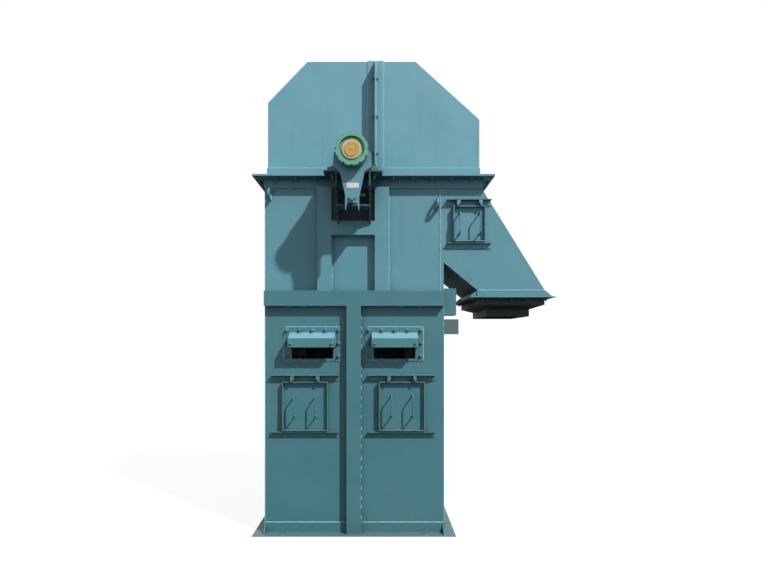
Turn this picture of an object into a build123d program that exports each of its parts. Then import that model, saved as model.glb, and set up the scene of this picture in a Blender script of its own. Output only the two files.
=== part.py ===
from build123d import *
import os
from math import cos, degrees, hypot, pi, sin

# Bucket elevator, head and inspection casing, in millimetres.
# X runs to the right along the front, the front faces -Y, Z is up.
# The origin is the middle of the casing, on the face that rests on the floor.

# Casing
CASING_WIDTH = 1514
CASING_DEPTH = 900
WALL = 6
LOWER_HEIGHT = 1983
UPPER_HEIGHT = 1022
TOUCH = 0.3

# Base flange
BASE_FLANGE_WIDTH = 90
BASE_THICKNESS = 8
BASE_GUSSET = 70
ANCHOR_HOLE = 22
ANCHOR_OUT = 55
ANCHOR_SPACING = 1200

# Posts, rails and the band over the middle joint
STIFFENER_OUT = 55
STIFFENER_WALL = 6
POST_WIDTH = 120
LOWER_POST_X = -4
UPPER_POST_LEFT_X = -250
UPPER_POST_RIGHT_X = 233
RAIL_HEIGHT = 118
RAIL_DROP = 492
BAND_HEIGHT = 127
FRONT_SEAM_INSET = 33

# Lifting lugs
LUG_OUT = 85
LUG_HEIGHT = 96
LUG_THICKNESS = 14
LUG_HOLE = 40
LEFT_LUG_INSET = 44
LEFT_LUG_DROP = 193
RIGHT_LUG_INSET = 57
RIGHT_LUG_DROP = 277

# Inspection doors
DOOR_WIDTH = 386
DOOR_HEIGHT = 415
DOOR_DROP = 1116
LEFT_DOOR_X = -413
RIGHT_DOOR_X = 401
CHUTE_DOOR_WIDTH = 272
CHUTE_DOOR_HEIGHT = 300
CHUTE_DOOR_DROP = 543
CHUTE_DOOR_OUT = 212
DOOR_LIP = 28
DOOR_RIM = 35
DOOR_RIM_WALL = 8
DOOR_PLATE = 6
DOOR_CLEARANCE = 6
LEDGE_OUT = 62
LEDGE_LEG = 50
LEDGE_WALL = 6
LEDGE_LENGTH = 572
CHUTE_LEDGE_LENGTH = 372
HINGE_PIN = 14
HINGE_EAR = 12
HINGE_EYE = 16
HINGE_EYE_RADIUS = 15
HINGE_OUT = 42
HINGE_RISE = 30
HINGE_SPREAD = 228
CHUTE_HINGE_SPREAD = 196
HINGE_GAP = 0.3
HANDLE_ROD = 16
HANDLE_HEIGHT = 186
HANDLE_OUT = 80
HANDLE_SPREAD = 174
CHUTE_HANDLE_SPREAD = 165

# Vent hoods
VENT_WIDTH = 484
VENT_HEIGHT = 285
VENT_DROP = 525
LEFT_VENT_X = -355
RIGHT_VENT_X = 341
VENT_PLATE = 6
VENT_HOOD_WIDTH = 386
VENT_HOOD_OUT = 112
VENT_HOOD_RISE = 234
VENT_HOOD_FALL = 44
VENT_HOOD_HEIGHT = 120
VENT_HOOD_WALL = 4
VENT_HOLE_WIDTH = 350
VENT_HOLE_RISE = 16
VENT_HOLE_HEIGHT = 166

# Discharge chute
CHUTE_OUT = 326
CHUTE_SHOULDER = 95
CHUTE_MOUTH_OUT = 288
CHUTE_MOUTH_WIDTH = 566
CHUTE_MOUTH_RISE = 73
CHUTE_NECK = 66
CHUTE_FLOOR_RISE = 310
OUTLET_FLANGE_OUT = 75
OUTLET_FLANGE_HEIGHT = 62
OUTLET_FLANGE_WALL = 8
SPOUT_PLATE_OUT = 42
SPOUT_HEIGHT = 172
SPOUT_NARROW_X = 32
SPOUT_NARROW_Y = 140
SPOUT_RIM = 38

# Bracket and box on the right side
SIDE_BRACKET_OUT = 110
SIDE_BRACKET_DEPTH = 160
SIDE_BRACKET_RISE = 90
SIDE_BRACKET_HEIGHT = 228
SIDE_BRACKET_WALL = 8
SIDE_BOX_OUT = 130
SIDE_BOX_DEPTH = 120
SIDE_BOX_HEIGHT = 127
SIDE_BOX_GAP = 35
SIDE_FRONT = 30

# Head flange and hood
HEAD_FLANGE_WIDTH = 90
HEAD_FLANGE_HEIGHT = 90
HEAD_FLANGE_WALL = 8
HOOD_INSET = 22
HOOD_HEIGHT = 995
HOOD_LEFT_FALL = 349
HOOD_LEFT_RUN = 335
HOOD_RIGHT_FALL = 490
HOOD_RIGHT_RUN = 542
HOOD_SEAM_X = 178
SEAM_OUT = 95
SEAM_WIDTH = 68
SEAM_WALL = 6

# Head shaft, bearings and their brackets
SHAFT_RISE = 80
SHAFT_RADIUS = 50
SHAFT_HOLE_RADIUS = 68
SHAFT_REAR_END = 960
SHAFT_JOURNAL_RADIUS = 45
SHAFT_JOURNAL_LENGTH = 240
BLOCK_CENTRE_HEIGHT = 140
BLOCK_LENGTH = 420
BLOCK_WIDTH = 126
BLOCK_FOOT = 38
BLOCK_RADIUS = 108
BLOCK_Y = 648
BLOCK_BOLT_SPREAD = 330
BLOCK_BOLT_HOLE = 26
SHELF_LENGTH = 470
SHELF_PLATE = 16
SHELF_LIP = 46
SHELF_FRONT = 728
BRACKET_GAP = 5
BRACKET_SPREAD = 266
BRACKET_PLATE = 12
BRACKET_BACK_WIDTH = 340
BRACKET_BACK_PLATE = 10
BRACKET_HANG = 31
CROSS_PLATE_HEIGHT = 170

# Backstop and torque arm
BACKSTOP_RADIUS = 126
BACKSTOP_REAR = 742
BACKSTOP_FRONT = 930
BACKSTOP_FACE_RADIUS = 98
BACKSTOP_FACE_DEPTH = 16
BACKSTOP_NOTCHES = 12
BACKSTOP_NOTCH_RADIUS = 9
BACKSTOP_NOTCH_DEPTH = 22
BACKSTOP_RING_OUTER = 74
BACKSTOP_RING_DEPTH = 8
END_CAP_RADIUS = 57
END_CAP_THICKNESS = 12
ARM_FRONT = 858
ARM_DEPTH = 62
ARM_WALL = 10
ARM_TOP_WIDTH = 206
ARM_LOW_WIDTH = 108
ARM_PIN_EDGE = 41
ARM_FORK = 54
ARM_PIN_DROP = 350
ARM_PIN = 26
ARM_PIN_HEAD = 23
ARM_PIN_HEAD_LENGTH = 16

# Head pulley, belt and buckets
PULLEY_RADIUS = 430
PULLEY_WIDTH = 620
PULLEY_RIM = 14
PULLEY_END_PLATE = 16
PULLEY_END_RECESS = 24
PULLEY_HUB_RADIUS = 95
PULLEY_HUB_LENGTH = 24
BELT_WIDTH = 600
BELT = 14
BELT_RISE = 40
BUCKET_WIDTH = 540
BUCKET_OUT = 200
BUCKET_BACK = 190
BUCKET_LIP = 110
BUCKET_WALL = 5
BUCKET_CORNER = 62
BUCKET_PITCH = 345
BUCKET_FIRST_RISE = 210


# Derived places
HALF_WIDTH = CASING_WIDTH / 2
MIDDLE_JOINT_Z = LOWER_HEIGHT
HEAD_JOINT_Z = MIDDLE_JOINT_Z + UPPER_HEIGHT
SHAFT_Z = HEAD_JOINT_Z + SHAFT_RISE
HOOD_TOP_Z = HEAD_JOINT_Z + HOOD_HEIGHT
RAIL_Z = HEAD_JOINT_Z - RAIL_DROP
CHUTE_MOUTH_LEFT = HALF_WIDTH + CHUTE_MOUTH_OUT
CHUTE_MOUTH_RIGHT = CHUTE_MOUTH_LEFT + CHUTE_MOUTH_WIDTH
CHUTE_MOUTH_Z = MIDDLE_JOINT_Z + CHUTE_MOUTH_RISE
CHUTE_FLOOR_Z = MIDDLE_JOINT_Z + CHUTE_FLOOR_RISE
CHUTE_SHOULDER_Z = HEAD_JOINT_Z - CHUTE_SHOULDER
CHUTE_DOOR_Z = HEAD_JOINT_Z - CHUTE_DOOR_DROP
CHUTE_DOOR_X = HALF_WIDTH + CHUTE_DOOR_OUT
DOOR_Z = MIDDLE_JOINT_Z - DOOR_DROP
VENT_Z = MIDDLE_JOINT_Z - VENT_DROP
FRONT_SEAM_X = HALF_WIDTH - FRONT_SEAM_INSET
LEFT_LUG_X = -HALF_WIDTH + LEFT_LUG_INSET
RIGHT_LUG_X = HALF_WIDTH - RIGHT_LUG_INSET
VENT_HOLE_Z = VENT_Z + VENT_HOLE_RISE
VENT_HOOD_TOP = VENT_Z + VENT_HOOD_RISE
VENT_HOOD_LOW = VENT_HOOD_TOP - VENT_HOOD_HEIGHT
BRACKET_LOW_Z = RAIL_Z + RAIL_HEIGHT - BRACKET_HANG
ARM_PIN_Z = SHAFT_Z - ARM_PIN_DROP
ARM_LOW_Z = ARM_PIN_Z - ARM_PIN_EDGE - ARM_FORK
FRONT = CASING_DEPTH / 2
INNER = FRONT - WALL
HEAD_RIGHT = HALF_WIDTH + CHUTE_OUT
HOOD_LEFT = -HALF_WIDTH + HOOD_INSET
HOOD_RIGHT = HEAD_RIGHT - HOOD_INSET
HOOD_FRONT = FRONT - HOOD_INSET
HOOD_INNER = HOOD_FRONT - WALL
BAND_LOW_Z = MIDDLE_JOINT_Z - BAND_HEIGHT / 2
BAND_TOP_Z = MIDDLE_JOINT_Z + BAND_HEIGHT / 2
HEAD_FLANGE_LOW_Z = HEAD_JOINT_Z - HEAD_FLANGE_HEIGHT
STIFFENER_FACE = FRONT + STIFFENER_OUT
CHUTE_LOW_Z = CHUTE_MOUTH_Z - CHUTE_NECK
SHELF_TOP_Z = SHAFT_Z - BLOCK_CENTRE_HEIGHT
FLANGE_FACE = FRONT + HEAD_FLANGE_WIDTH
BELT_INNER = PULLEY_RADIUS + TOUCH
BELT_OUTER = BELT_INNER + BELT


# Shapes that many pieces share
def block(x, y, z):
    """A box between the low and high value along each axis."""
    middle = [(low + high) / 2 for low, high in (x, y, z)]
    return Pos(*middle) * Box(x[1] - x[0], y[1] - y[0], z[1] - z[0])


def outline_xz(points, y):
    """A flat outline of X and Z points, made solid between two depths."""
    face = Plane.XZ * make_face(Polyline(*points, close=True))
    return Pos(0, y[1], 0) * extrude(face, amount=y[1] - y[0])


def outline_yz(points, x):
    """A flat outline of Y and Z points, made solid between two X values."""
    face = Plane.YZ * make_face(Polyline(*points, close=True))
    return Pos(x[0], 0, 0) * extrude(face, amount=x[1] - x[0])


def outline_xy(points, z):
    """A flat outline of X and Y points, made solid between two heights."""
    face = make_face(Polyline(*points, close=True))
    return Pos(0, 0, z[0]) * extrude(face, amount=z[1] - z[0])


def rod_y(x, z, radius, y):
    """A round bar along Y."""
    return Pos(x, (y[0] + y[1]) / 2, z) * Rot(90, 0, 0) * Cylinder(radius, y[1] - y[0])


def rod_x(y, z, radius, x):
    """A round bar along X."""
    return Pos((x[0] + x[1]) / 2, y, z) * Rot(0, 90, 0) * Cylinder(radius, x[1] - x[0])


def rod_z(x, y, radius, z):
    """A round bar along Z."""
    return Pos(x, y, (z[0] + z[1]) / 2) * Cylinder(radius, z[1] - z[0])


def moved_line(points, distance):
    """The same line moved sideways to its right, with mitred corners."""
    line = [Vector(*point) for point in points]
    steps = [(end - start).normalized() for start, end in zip(line, line[1:])]
    result = []
    for index, point in enumerate(line):
        near = steps[max(index - 1, 0):index + 1]
        sides = [Vector(step.Y, -step.X) for step in near]
        middle = (sides[0] + sides[-1]).normalized()
        shifted = point + middle * (distance / middle.dot(sides[0]))
        result.append((shifted.X, shifted.Y))
    return result


def bent_plate(points, thickness):
    """The outline of a bent plate whose outer face follows the line."""
    return list(points) + moved_line(points, thickness)[::-1]


def ring(x, y, z, wall):
    """A rectangular frame standing outside the given rectangle."""
    outer = block((x[0] - wall, x[1] + wall), (y[0] - wall, y[1] + wall), z)
    return outer - block(x, y, z)


def rear_copy(shape):
    """The same piece on the rear side."""
    return mirror(shape, about=Plane.XZ)


def save(name, *pieces):
    """Write one node with all its solids."""
    solids = [solid for piece in pieces for solid in piece.solids()]
    export_step(Compound(solids), f"parts/{name}.step")


# Base flange
def base_flange():
    """An angle ring round the foot, with anchor holes and a gusset at each end of the long sides."""
    x = (-HALF_WIDTH, HALF_WIDTH)
    y = (-FRONT, FRONT)
    body = ring(x, y, (0, BASE_THICKNESS), BASE_FLANGE_WIDTH) + ring(x, y, (0, BASE_FLANGE_WIDTH), BASE_THICKNESS)
    for side in (-1, 1):
        for end in (-1, 1):
            inner = side * (FRONT + BASE_THICKNESS)
            outer = side * (FRONT + BASE_GUSSET + BASE_THICKNESS)
            points = [(inner, BASE_THICKNESS), (outer, BASE_THICKNESS), (inner, BASE_GUSSET + BASE_THICKNESS)]
            edge = end * HALF_WIDTH
            body += outline_yz(points, sorted((edge, edge - end * BASE_THICKNESS)))
            hole_y = side * (FRONT + ANCHOR_OUT)
            body -= rod_z(end * ANCHOR_SPACING / 2, hole_y, ANCHOR_HOLE / 2, (0, BASE_FLANGE_WIDTH))
    return body


# Stiffeners
def channel_post(x, z):
    """An upright channel on the front wall, its web facing out."""
    low = -STIFFENER_FACE
    outer = block((x - POST_WIDTH / 2, x + POST_WIDTH / 2), (low, -FRONT), z)
    half = POST_WIDTH / 2 - STIFFENER_WALL
    return outer - block((x - half, x + half), (low + STIFFENER_WALL, -FRONT), z)


def channel_rail(x, z):
    """A level channel on the front wall, its web facing out."""
    low = -STIFFENER_FACE
    outer = block(x, (low, -FRONT), z)
    inner = block(x, (low + STIFFENER_WALL, -FRONT), (z[0] + STIFFENER_WALL, z[1] - STIFFENER_WALL))
    return outer - inner


def lower_post():
    """The post on the lower casing, notched over the upright leg of the base flange."""
    post = channel_post(LOWER_POST_X, (BASE_THICKNESS, BAND_LOW_Z))
    notch = block((-HALF_WIDTH, HALF_WIDTH), (-FRONT - BASE_THICKNESS, -FRONT), (0, BASE_FLANGE_WIDTH))
    return post - notch


def lifting_lug(x, z):
    """A lug with a rounded outer edge and a hole, standing out from the front wall."""
    out = -FRONT - LUG_OUT
    round_y = out + LUG_HEIGHT / 2
    points = [(-FRONT, z), (round_y, z), (round_y, z + LUG_HEIGHT), (-FRONT, z + LUG_HEIGHT)]
    sides = (x - LUG_THICKNESS / 2, x + LUG_THICKNESS / 2)
    body = outline_yz(points, sides) + rod_x(round_y, z + LUG_HEIGHT / 2, LUG_HEIGHT / 2, sides)
    body &= block(sides, (out, -FRONT), (z, z + LUG_HEIGHT))
    return body - rod_x(round_y, z + LUG_HEIGHT / 2, LUG_HOLE / 2, sides)


# Walls
def door_opening(x, z, width, height):
    """The hole in the front wall behind a door."""
    return block(
        (x - width / 2 + DOOR_LIP, x + width / 2 - DOOR_LIP),
        (-FRONT, -INNER),
        (z + DOOR_LIP, z + height - DOOR_LIP),
    )


def vent_opening(x):
    """The hole through the front wall and the vent plate."""
    half = VENT_HOLE_WIDTH / 2
    return block((x - half, x + half), (-FRONT - VENT_PLATE, -INNER), (VENT_HOLE_Z, VENT_HOLE_Z + VENT_HOLE_HEIGHT))


def front_wall_lower(x, door_x, vent_x):
    """One half of the lower front wall, cut through for its door and its vent."""
    plate = block(x, (-FRONT, -INNER), (0, MIDDLE_JOINT_Z))
    return plate - door_opening(door_x, DOOR_Z, DOOR_WIDTH, DOOR_HEIGHT) - vent_opening(vent_x)


def front_wall_upper():
    """The upper front wall, stepped round the start of the chute."""
    points = [
        (-HALF_WIDTH, MIDDLE_JOINT_Z),
        (HALF_WIDTH, MIDDLE_JOINT_Z),
        (HALF_WIDTH, CHUTE_FLOOR_Z),
        (FRONT_SEAM_X, CHUTE_FLOOR_Z),
        (FRONT_SEAM_X, HEAD_JOINT_Z),
        (-HALF_WIDTH, HEAD_JOINT_Z),
    ]
    return outline_xz(points, (-FRONT, -INNER))


# Discharge chute
CHUTE_ROOF = [
    (HEAD_RIGHT, HEAD_JOINT_Z),
    (HEAD_RIGHT, CHUTE_SHOULDER_Z),
    (CHUTE_MOUTH_RIGHT, CHUTE_MOUTH_Z),
    (CHUTE_MOUTH_RIGHT, CHUTE_LOW_Z),
]
CHUTE_BED = [
    (CHUTE_MOUTH_LEFT, CHUTE_LOW_Z),
    (CHUTE_MOUTH_LEFT, CHUTE_MOUTH_Z),
    (HALF_WIDTH, CHUTE_FLOOR_Z),
]


def chute_front():
    """The flat side plate of the chute, cut through for its door."""
    points = CHUTE_ROOF + CHUTE_BED + [(FRONT_SEAM_X, CHUTE_FLOOR_Z), (FRONT_SEAM_X, HEAD_JOINT_Z)]
    plate = outline_xz(points, (-FRONT, -INNER))
    return plate - door_opening(CHUTE_DOOR_X, CHUTE_DOOR_Z, CHUTE_DOOR_WIDTH, CHUTE_DOOR_HEIGHT)


def chute_back():
    """The rear side plate of the chute."""
    points = CHUTE_ROOF + CHUTE_BED + [(FRONT_SEAM_X, CHUTE_FLOOR_Z), (FRONT_SEAM_X, HEAD_JOINT_Z)]
    return outline_xz(points, (INNER, FRONT))


def chute_plate(line):
    """A bent plate between the two side plates of the chute."""
    return outline_xz(bent_plate(line, WALL), (-INNER, INNER))


MOUTH_X = (CHUTE_MOUTH_LEFT, CHUTE_MOUTH_RIGHT)
MOUTH_Y = (-FRONT, FRONT)


def outlet_flange():
    """A level flange round the mouth with a raised outer edge."""
    flat = ring(MOUTH_X, MOUTH_Y, (CHUTE_LOW_Z, CHUTE_LOW_Z + OUTLET_FLANGE_WALL), OUTLET_FLANGE_OUT)
    reach = OUTLET_FLANGE_OUT - OUTLET_FLANGE_WALL
    edge_x = (MOUTH_X[0] - reach, MOUTH_X[1] + reach)
    edge_y = (MOUTH_Y[0] - reach, MOUTH_Y[1] + reach)
    upright = ring(edge_x, edge_y, (CHUTE_LOW_Z, CHUTE_LOW_Z + OUTLET_FLANGE_HEIGHT), OUTLET_FLANGE_WALL)
    return flat + upright


def outlet_spout():
    """The narrowing spout under the outlet, with its own flange and a rim at its lower end."""
    top = CHUTE_LOW_Z
    low = top - SPOUT_HEIGHT
    flange = ring(MOUTH_X, MOUTH_Y, (top - OUTLET_FLANGE_WALL, top), SPOUT_PLATE_OUT)
    wide_x = CHUTE_MOUTH_RIGHT - CHUTE_MOUTH_LEFT
    middle = (CHUTE_MOUTH_LEFT + CHUTE_MOUTH_RIGHT) / 2
    low_x = wide_x - 2 * SPOUT_NARROW_X
    low_y = CASING_DEPTH - 2 * SPOUT_NARROW_Y
    neck = low + SPOUT_RIM

    def skin(trim):
        collar_z = top - OUTLET_FLANGE_WALL
        upper = Pos(middle, 0, collar_z) * Rectangle(wide_x - trim, CASING_DEPTH - trim)
        lower = Pos(middle, 0, neck) * Rectangle(low_x - trim, low_y - trim)
        collar = Pos(middle, 0, (top + collar_z) / 2) * Box(wide_x - trim, CASING_DEPTH - trim, OUTLET_FLANGE_WALL)
        end = Pos(middle, 0, (low + neck) / 2) * Box(low_x - trim, low_y - trim, SPOUT_RIM)
        return collar + loft([lower, upper], ruled=True) + end

    rim_x = (middle - low_x / 2, middle + low_x / 2)
    rim_y = (-low_y / 2, low_y / 2)
    rim = ring(rim_x, rim_y, (low, neck), WALL)
    return skin(0) + flange + rim - skin(2 * WALL)


# Side bracket and box
def side_bracket():
    """A welded bracket of two cheeks and a shelf on the right side."""
    top = MIDDLE_JOINT_Z + SIDE_BRACKET_RISE
    low = top - SIDE_BRACKET_HEIGHT
    x = (HALF_WIDTH, HALF_WIDTH + SIDE_BRACKET_OUT)
    y = (-FRONT + SIDE_FRONT, -FRONT + SIDE_FRONT + SIDE_BRACKET_DEPTH)
    outer = block(x, y, (low, top))
    hollow_y = (y[0] + SIDE_BRACKET_WALL, y[1] - SIDE_BRACKET_WALL)
    hollow_z = (low, top - SIDE_BRACKET_WALL)
    return outer - block((x[0], x[1] - SIDE_BRACKET_WALL), hollow_y, hollow_z)


def side_box():
    """The small closed box under the bracket."""
    x = (HALF_WIDTH, HALF_WIDTH + SIDE_BOX_OUT)
    y = (-FRONT + SIDE_FRONT, -FRONT + SIDE_FRONT + SIDE_BOX_DEPTH)
    top = MIDDLE_JOINT_Z + SIDE_BRACKET_RISE - SIDE_BRACKET_HEIGHT - SIDE_BOX_GAP
    return block(x, y, (top - SIDE_BOX_HEIGHT, top))


# Inspection doors
HINGE_Y = -FRONT - HINGE_OUT


def hinge_places(x, spread):
    """The X of the two hinges."""
    return (x - spread / 2, x + spread / 2)


def door_leaf(x, z, width, height, spread):
    """A shallow pan with its rim facing out, hung from two eyes."""
    back = -FRONT - DOOR_CLEARANCE
    face = back - DOOR_RIM
    half = width / 2
    pan = block((x - half, x + half), (face, back), (z, z + height))
    inner = half - DOOR_RIM_WALL
    pocket_z = (z + DOOR_RIM_WALL, z + height - DOOR_RIM_WALL)
    pan -= block((x - inner, x + inner), (face, back - DOOR_PLATE), pocket_z)
    pin_z = z + height + HINGE_RISE
    for place in hinge_places(x, spread):
        sides = (place - HINGE_EYE / 2, place + HINGE_EYE / 2)
        strap_y = (HINGE_Y - HINGE_EYE_RADIUS, HINGE_Y + HINGE_EYE_RADIUS)
        pan += block(sides, strap_y, (z + height, pin_z)) + rod_x(HINGE_Y, pin_z, HINGE_EYE_RADIUS, sides)
    for place in hinge_places(x, spread):
        pan -= rod_x(HINGE_Y, pin_z, HINGE_PIN / 2 + HINGE_GAP, (place - HINGE_EYE, place + HINGE_EYE))
    return pan


def door_handles(x, z, height, spread):
    """Two upright bow handles welded to the pan."""
    plate = -FRONT - DOOR_CLEARANCE - DOOR_PLATE
    out = plate - HANDLE_OUT
    middle = z + height / 2
    reach = (HANDLE_HEIGHT - HANDLE_ROD) / 2
    path_points = [
        (plate, middle - reach),
        (out + HANDLE_ROD / 2, middle - reach),
        (out + HANDLE_ROD / 2, middle + reach),
        (plate, middle + reach),
    ]
    handles = []
    for place in hinge_places(x, spread):
        points = [(place, y, level) for y, level in path_points]
        section = Plane(origin=points[0], z_dir=(0, -1, 0)) * Circle(HANDLE_ROD / 2)
        handles.append(sweep(section, path=Polyline(*points), transition=Transition.RIGHT))
    return handles


def ledge(x, z, length, leg_down):
    """An angle on the front wall, its level leg at the top."""
    sides = (x - length / 2, x + length / 2)
    level = block(sides, (-FRONT - LEDGE_OUT, -FRONT), (z - LEDGE_WALL, z))
    upright = block(sides, (-FRONT - LEDGE_WALL, -FRONT), (z - leg_down, z))
    return level + upright


def door_ledges(x, z, width, height, spread, length):
    """The upper ledge with its hinge ears and pins, and the ledge below the door."""
    pin_z = z + height + HINGE_RISE
    top = pin_z + HINGE_EYE_RADIUS + DOOR_CLEARANCE + LEDGE_WALL
    upper = ledge(x, top, length, top - z - height - DOOR_CLEARANCE)
    for side, place in zip((1, -1), hinge_places(x, spread)):
        start = place + side * (HINGE_EYE / 2 + HINGE_GAP)
        end = start + side * HINGE_EAR
        ear_x = sorted((start, end))
        ear_y = (HINGE_Y - HINGE_EYE_RADIUS, HINGE_Y + HINGE_EYE_RADIUS)
        ear = block(ear_x, ear_y, (pin_z - HINGE_EYE_RADIUS, top - LEDGE_WALL))
        pin_x = sorted((end, place - side * (HINGE_EYE / 2 + HINGE_GAP + DOOR_RIM_WALL / 2)))
        upper += ear + rod_x(HINGE_Y, pin_z, HINGE_PIN / 2, pin_x)
    swing = hypot(HINGE_OUT - DOOR_CLEARANCE, height + HINGE_RISE)
    lower = ledge(x, pin_z - swing - DOOR_CLEARANCE, length, LEDGE_LEG)
    return [upper, lower]


# Vent hoods
def vent_plate(x):
    """The bolted plate round a vent hole."""
    half = VENT_WIDTH / 2
    plate = block((x - half, x + half), (-FRONT - VENT_PLATE, -FRONT), (VENT_Z, VENT_Z + VENT_HEIGHT))
    return plate - vent_opening(x)


def vent_hood(x):
    """A folded sheet hood, closed at both ends and open at the bottom."""
    back = -FRONT - VENT_PLATE
    face = -FRONT - VENT_HOOD_OUT
    line = [(face, VENT_HOOD_LOW), (face, VENT_HOOD_TOP - VENT_HOOD_FALL), (back, VENT_HOOD_TOP)]
    half = VENT_HOOD_WIDTH / 2
    solid = outline_yz(line + [(back, VENT_HOOD_LOW)], (x - half, x + half))
    inner = moved_line(line, VENT_HOOD_WALL)
    inner_line = [(inner[0][0], VENT_HOOD_LOW), inner[1], (back, inner[2][1]), (back, VENT_HOOD_LOW)]
    trim = half - VENT_HOOD_WALL
    return solid - outline_yz(inner_line, (x - trim, x + trim))


# Head flange and hood
FLANGE_X = (-HALF_WIDTH, HEAD_RIGHT)
FLANGE_OUTER_X = (-HALF_WIDTH - HEAD_FLANGE_WIDTH, HEAD_RIGHT + HEAD_FLANGE_WIDTH)
HOOD_X = (HOOD_LEFT, HOOD_RIGHT)
HOOD_Y = (-HOOD_FRONT, HOOD_FRONT)


def shaft_hole():
    """The clear hole for the shaft through the front and rear of the head."""
    return rod_y(0, SHAFT_Z, SHAFT_HOLE_RADIUS, (-FLANGE_FACE, FLANGE_FACE))


def head_flange_lower():
    """The angle ring on top of the casing and the chute."""
    level = block(FLANGE_OUTER_X, (-FLANGE_FACE, FLANGE_FACE), (HEAD_JOINT_Z - HEAD_FLANGE_WALL, HEAD_JOINT_Z))
    level -= block(FLANGE_X, MOUTH_Y, (HEAD_FLANGE_LOW_Z, HEAD_JOINT_Z))
    return level + ring(FLANGE_X, MOUTH_Y, (HEAD_FLANGE_LOW_Z, HEAD_JOINT_Z), HEAD_FLANGE_WALL)


def head_flange_upper():
    """The angle ring round the foot of the hood."""
    level = block(FLANGE_OUTER_X, (-FLANGE_FACE, FLANGE_FACE), (HEAD_JOINT_Z, HEAD_JOINT_Z + HEAD_FLANGE_WALL))
    level -= block(HOOD_X, HOOD_Y, (HEAD_JOINT_Z, HEAD_JOINT_Z + HEAD_FLANGE_HEIGHT))
    upright = ring(HOOD_X, HOOD_Y, (HEAD_JOINT_Z, HEAD_JOINT_Z + HEAD_FLANGE_HEIGHT), HEAD_FLANGE_WALL)
    return level + upright - shaft_hole()


HOOD_LEFT_LINE = [
    (HOOD_LEFT, HEAD_JOINT_Z),
    (HOOD_LEFT, HOOD_TOP_Z - HOOD_LEFT_FALL),
    (HOOD_LEFT + HOOD_LEFT_RUN, HOOD_TOP_Z),
    (HOOD_SEAM_X, HOOD_TOP_Z),
]
HOOD_RIGHT_LINE = [
    (HOOD_SEAM_X, HOOD_TOP_Z),
    (HOOD_RIGHT - HOOD_RIGHT_RUN, HOOD_TOP_Z),
    (HOOD_RIGHT, HOOD_TOP_Z - HOOD_RIGHT_FALL),
    (HOOD_RIGHT, HEAD_JOINT_Z),
]


def hood_cheeks(line):
    """The front and rear plates of one half of the hood."""
    points = line + [(line[-1][0], HEAD_JOINT_Z), (line[0][0], HEAD_JOINT_Z)]
    outline = [point for index, point in enumerate(points) if point not in points[:index]]
    front = outline_xz(outline, (-HOOD_FRONT, -HOOD_INNER)) - shaft_hole()
    return [front, rear_copy(front)]


def hood_wrap(line):
    """The side and roof of one half of the hood, in one bent plate."""
    return outline_xz(bent_plate(line, WALL), (-HOOD_INNER, HOOD_INNER))


def hood_seam():
    """The tee down the front of the seam, a flat strap with a flange standing out from it."""
    low = HEAD_JOINT_Z + HEAD_FLANGE_HEIGHT
    top = HOOD_TOP_Z + SEAM_WALL
    out = -HOOD_FRONT - SEAM_OUT
    body = block((HOOD_SEAM_X - SEAM_WALL, HOOD_SEAM_X + SEAM_WALL), (out, -HOOD_FRONT), (low, top))
    flat_x = (HOOD_SEAM_X - SEAM_WIDTH, HOOD_SEAM_X + SEAM_WIDTH)
    body += block(flat_x, (-HOOD_FRONT - SEAM_WALL, -HOOD_FRONT), (low, top))
    return body


def seam_strap():
    """The strap over the roof seam."""
    flat_x = (HOOD_SEAM_X - SEAM_WIDTH, HOOD_SEAM_X + SEAM_WIDTH)
    return block(flat_x, (-HOOD_FRONT, HOOD_FRONT), (HOOD_TOP_Z, HOOD_TOP_Z + SEAM_WALL))


# Shaft, bearings and brackets
def bearing_bracket(front):
    """Two stepped gussets on a back plate, a shelf over them and, in front, a cross plate for the arm."""
    shelf_low = SHELF_TOP_Z - SHELF_PLATE
    near = -FLANGE_FACE - BRACKET_GAP
    far = -SHELF_FRONT
    half = SHELF_LENGTH / 2
    body = block((-half, half), (far, near), (shelf_low, SHELF_TOP_Z))
    body += block((-half, half), (far, far + BRACKET_PLATE), (SHELF_TOP_Z - SHELF_LIP, SHELF_TOP_Z))
    wall_low = RAIL_Z + RAIL_HEIGHT + BRACKET_GAP
    wall_top = HEAD_FLANGE_LOW_Z - BRACKET_GAP
    rail_clear = -STIFFENER_FACE - BRACKET_GAP
    points = [
        (-FRONT, wall_top),
        (near, wall_top),
        (near, shelf_low),
        (far + BRACKET_PLATE, shelf_low),
        (far + BRACKET_PLATE, BRACKET_LOW_Z),
        (rail_clear, BRACKET_LOW_Z),
        (rail_clear, wall_low),
        (-FRONT, wall_low),
    ]
    for side in (-1, 1):
        middle = side * BRACKET_SPREAD / 2
        body += outline_yz(points, (middle - BRACKET_PLATE / 2, middle + BRACKET_PLATE / 2))
    back = BRACKET_BACK_WIDTH / 2
    body += block((-back, back), (-FRONT - BRACKET_BACK_PLATE, -FRONT), (wall_low, wall_top))
    cross = BRACKET_SPREAD / 2 + BRACKET_PLATE / 2
    cross_top = BRACKET_LOW_Z + CROSS_PLATE_HEIGHT
    body += block((-cross, cross), (far, far + BRACKET_PLATE), (BRACKET_LOW_Z, cross_top))
    if front:
        body -= rod_y(0, ARM_PIN_Z, ARM_PIN / 2 + TOUCH, (far, far + BRACKET_PLATE))
    for side in (-1, 1):
        body -= rod_z(side * BLOCK_BOLT_SPREAD / 2, -BLOCK_Y, BLOCK_BOLT_HOLE / 2, (shelf_low, SHELF_TOP_Z))
    return body


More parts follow.
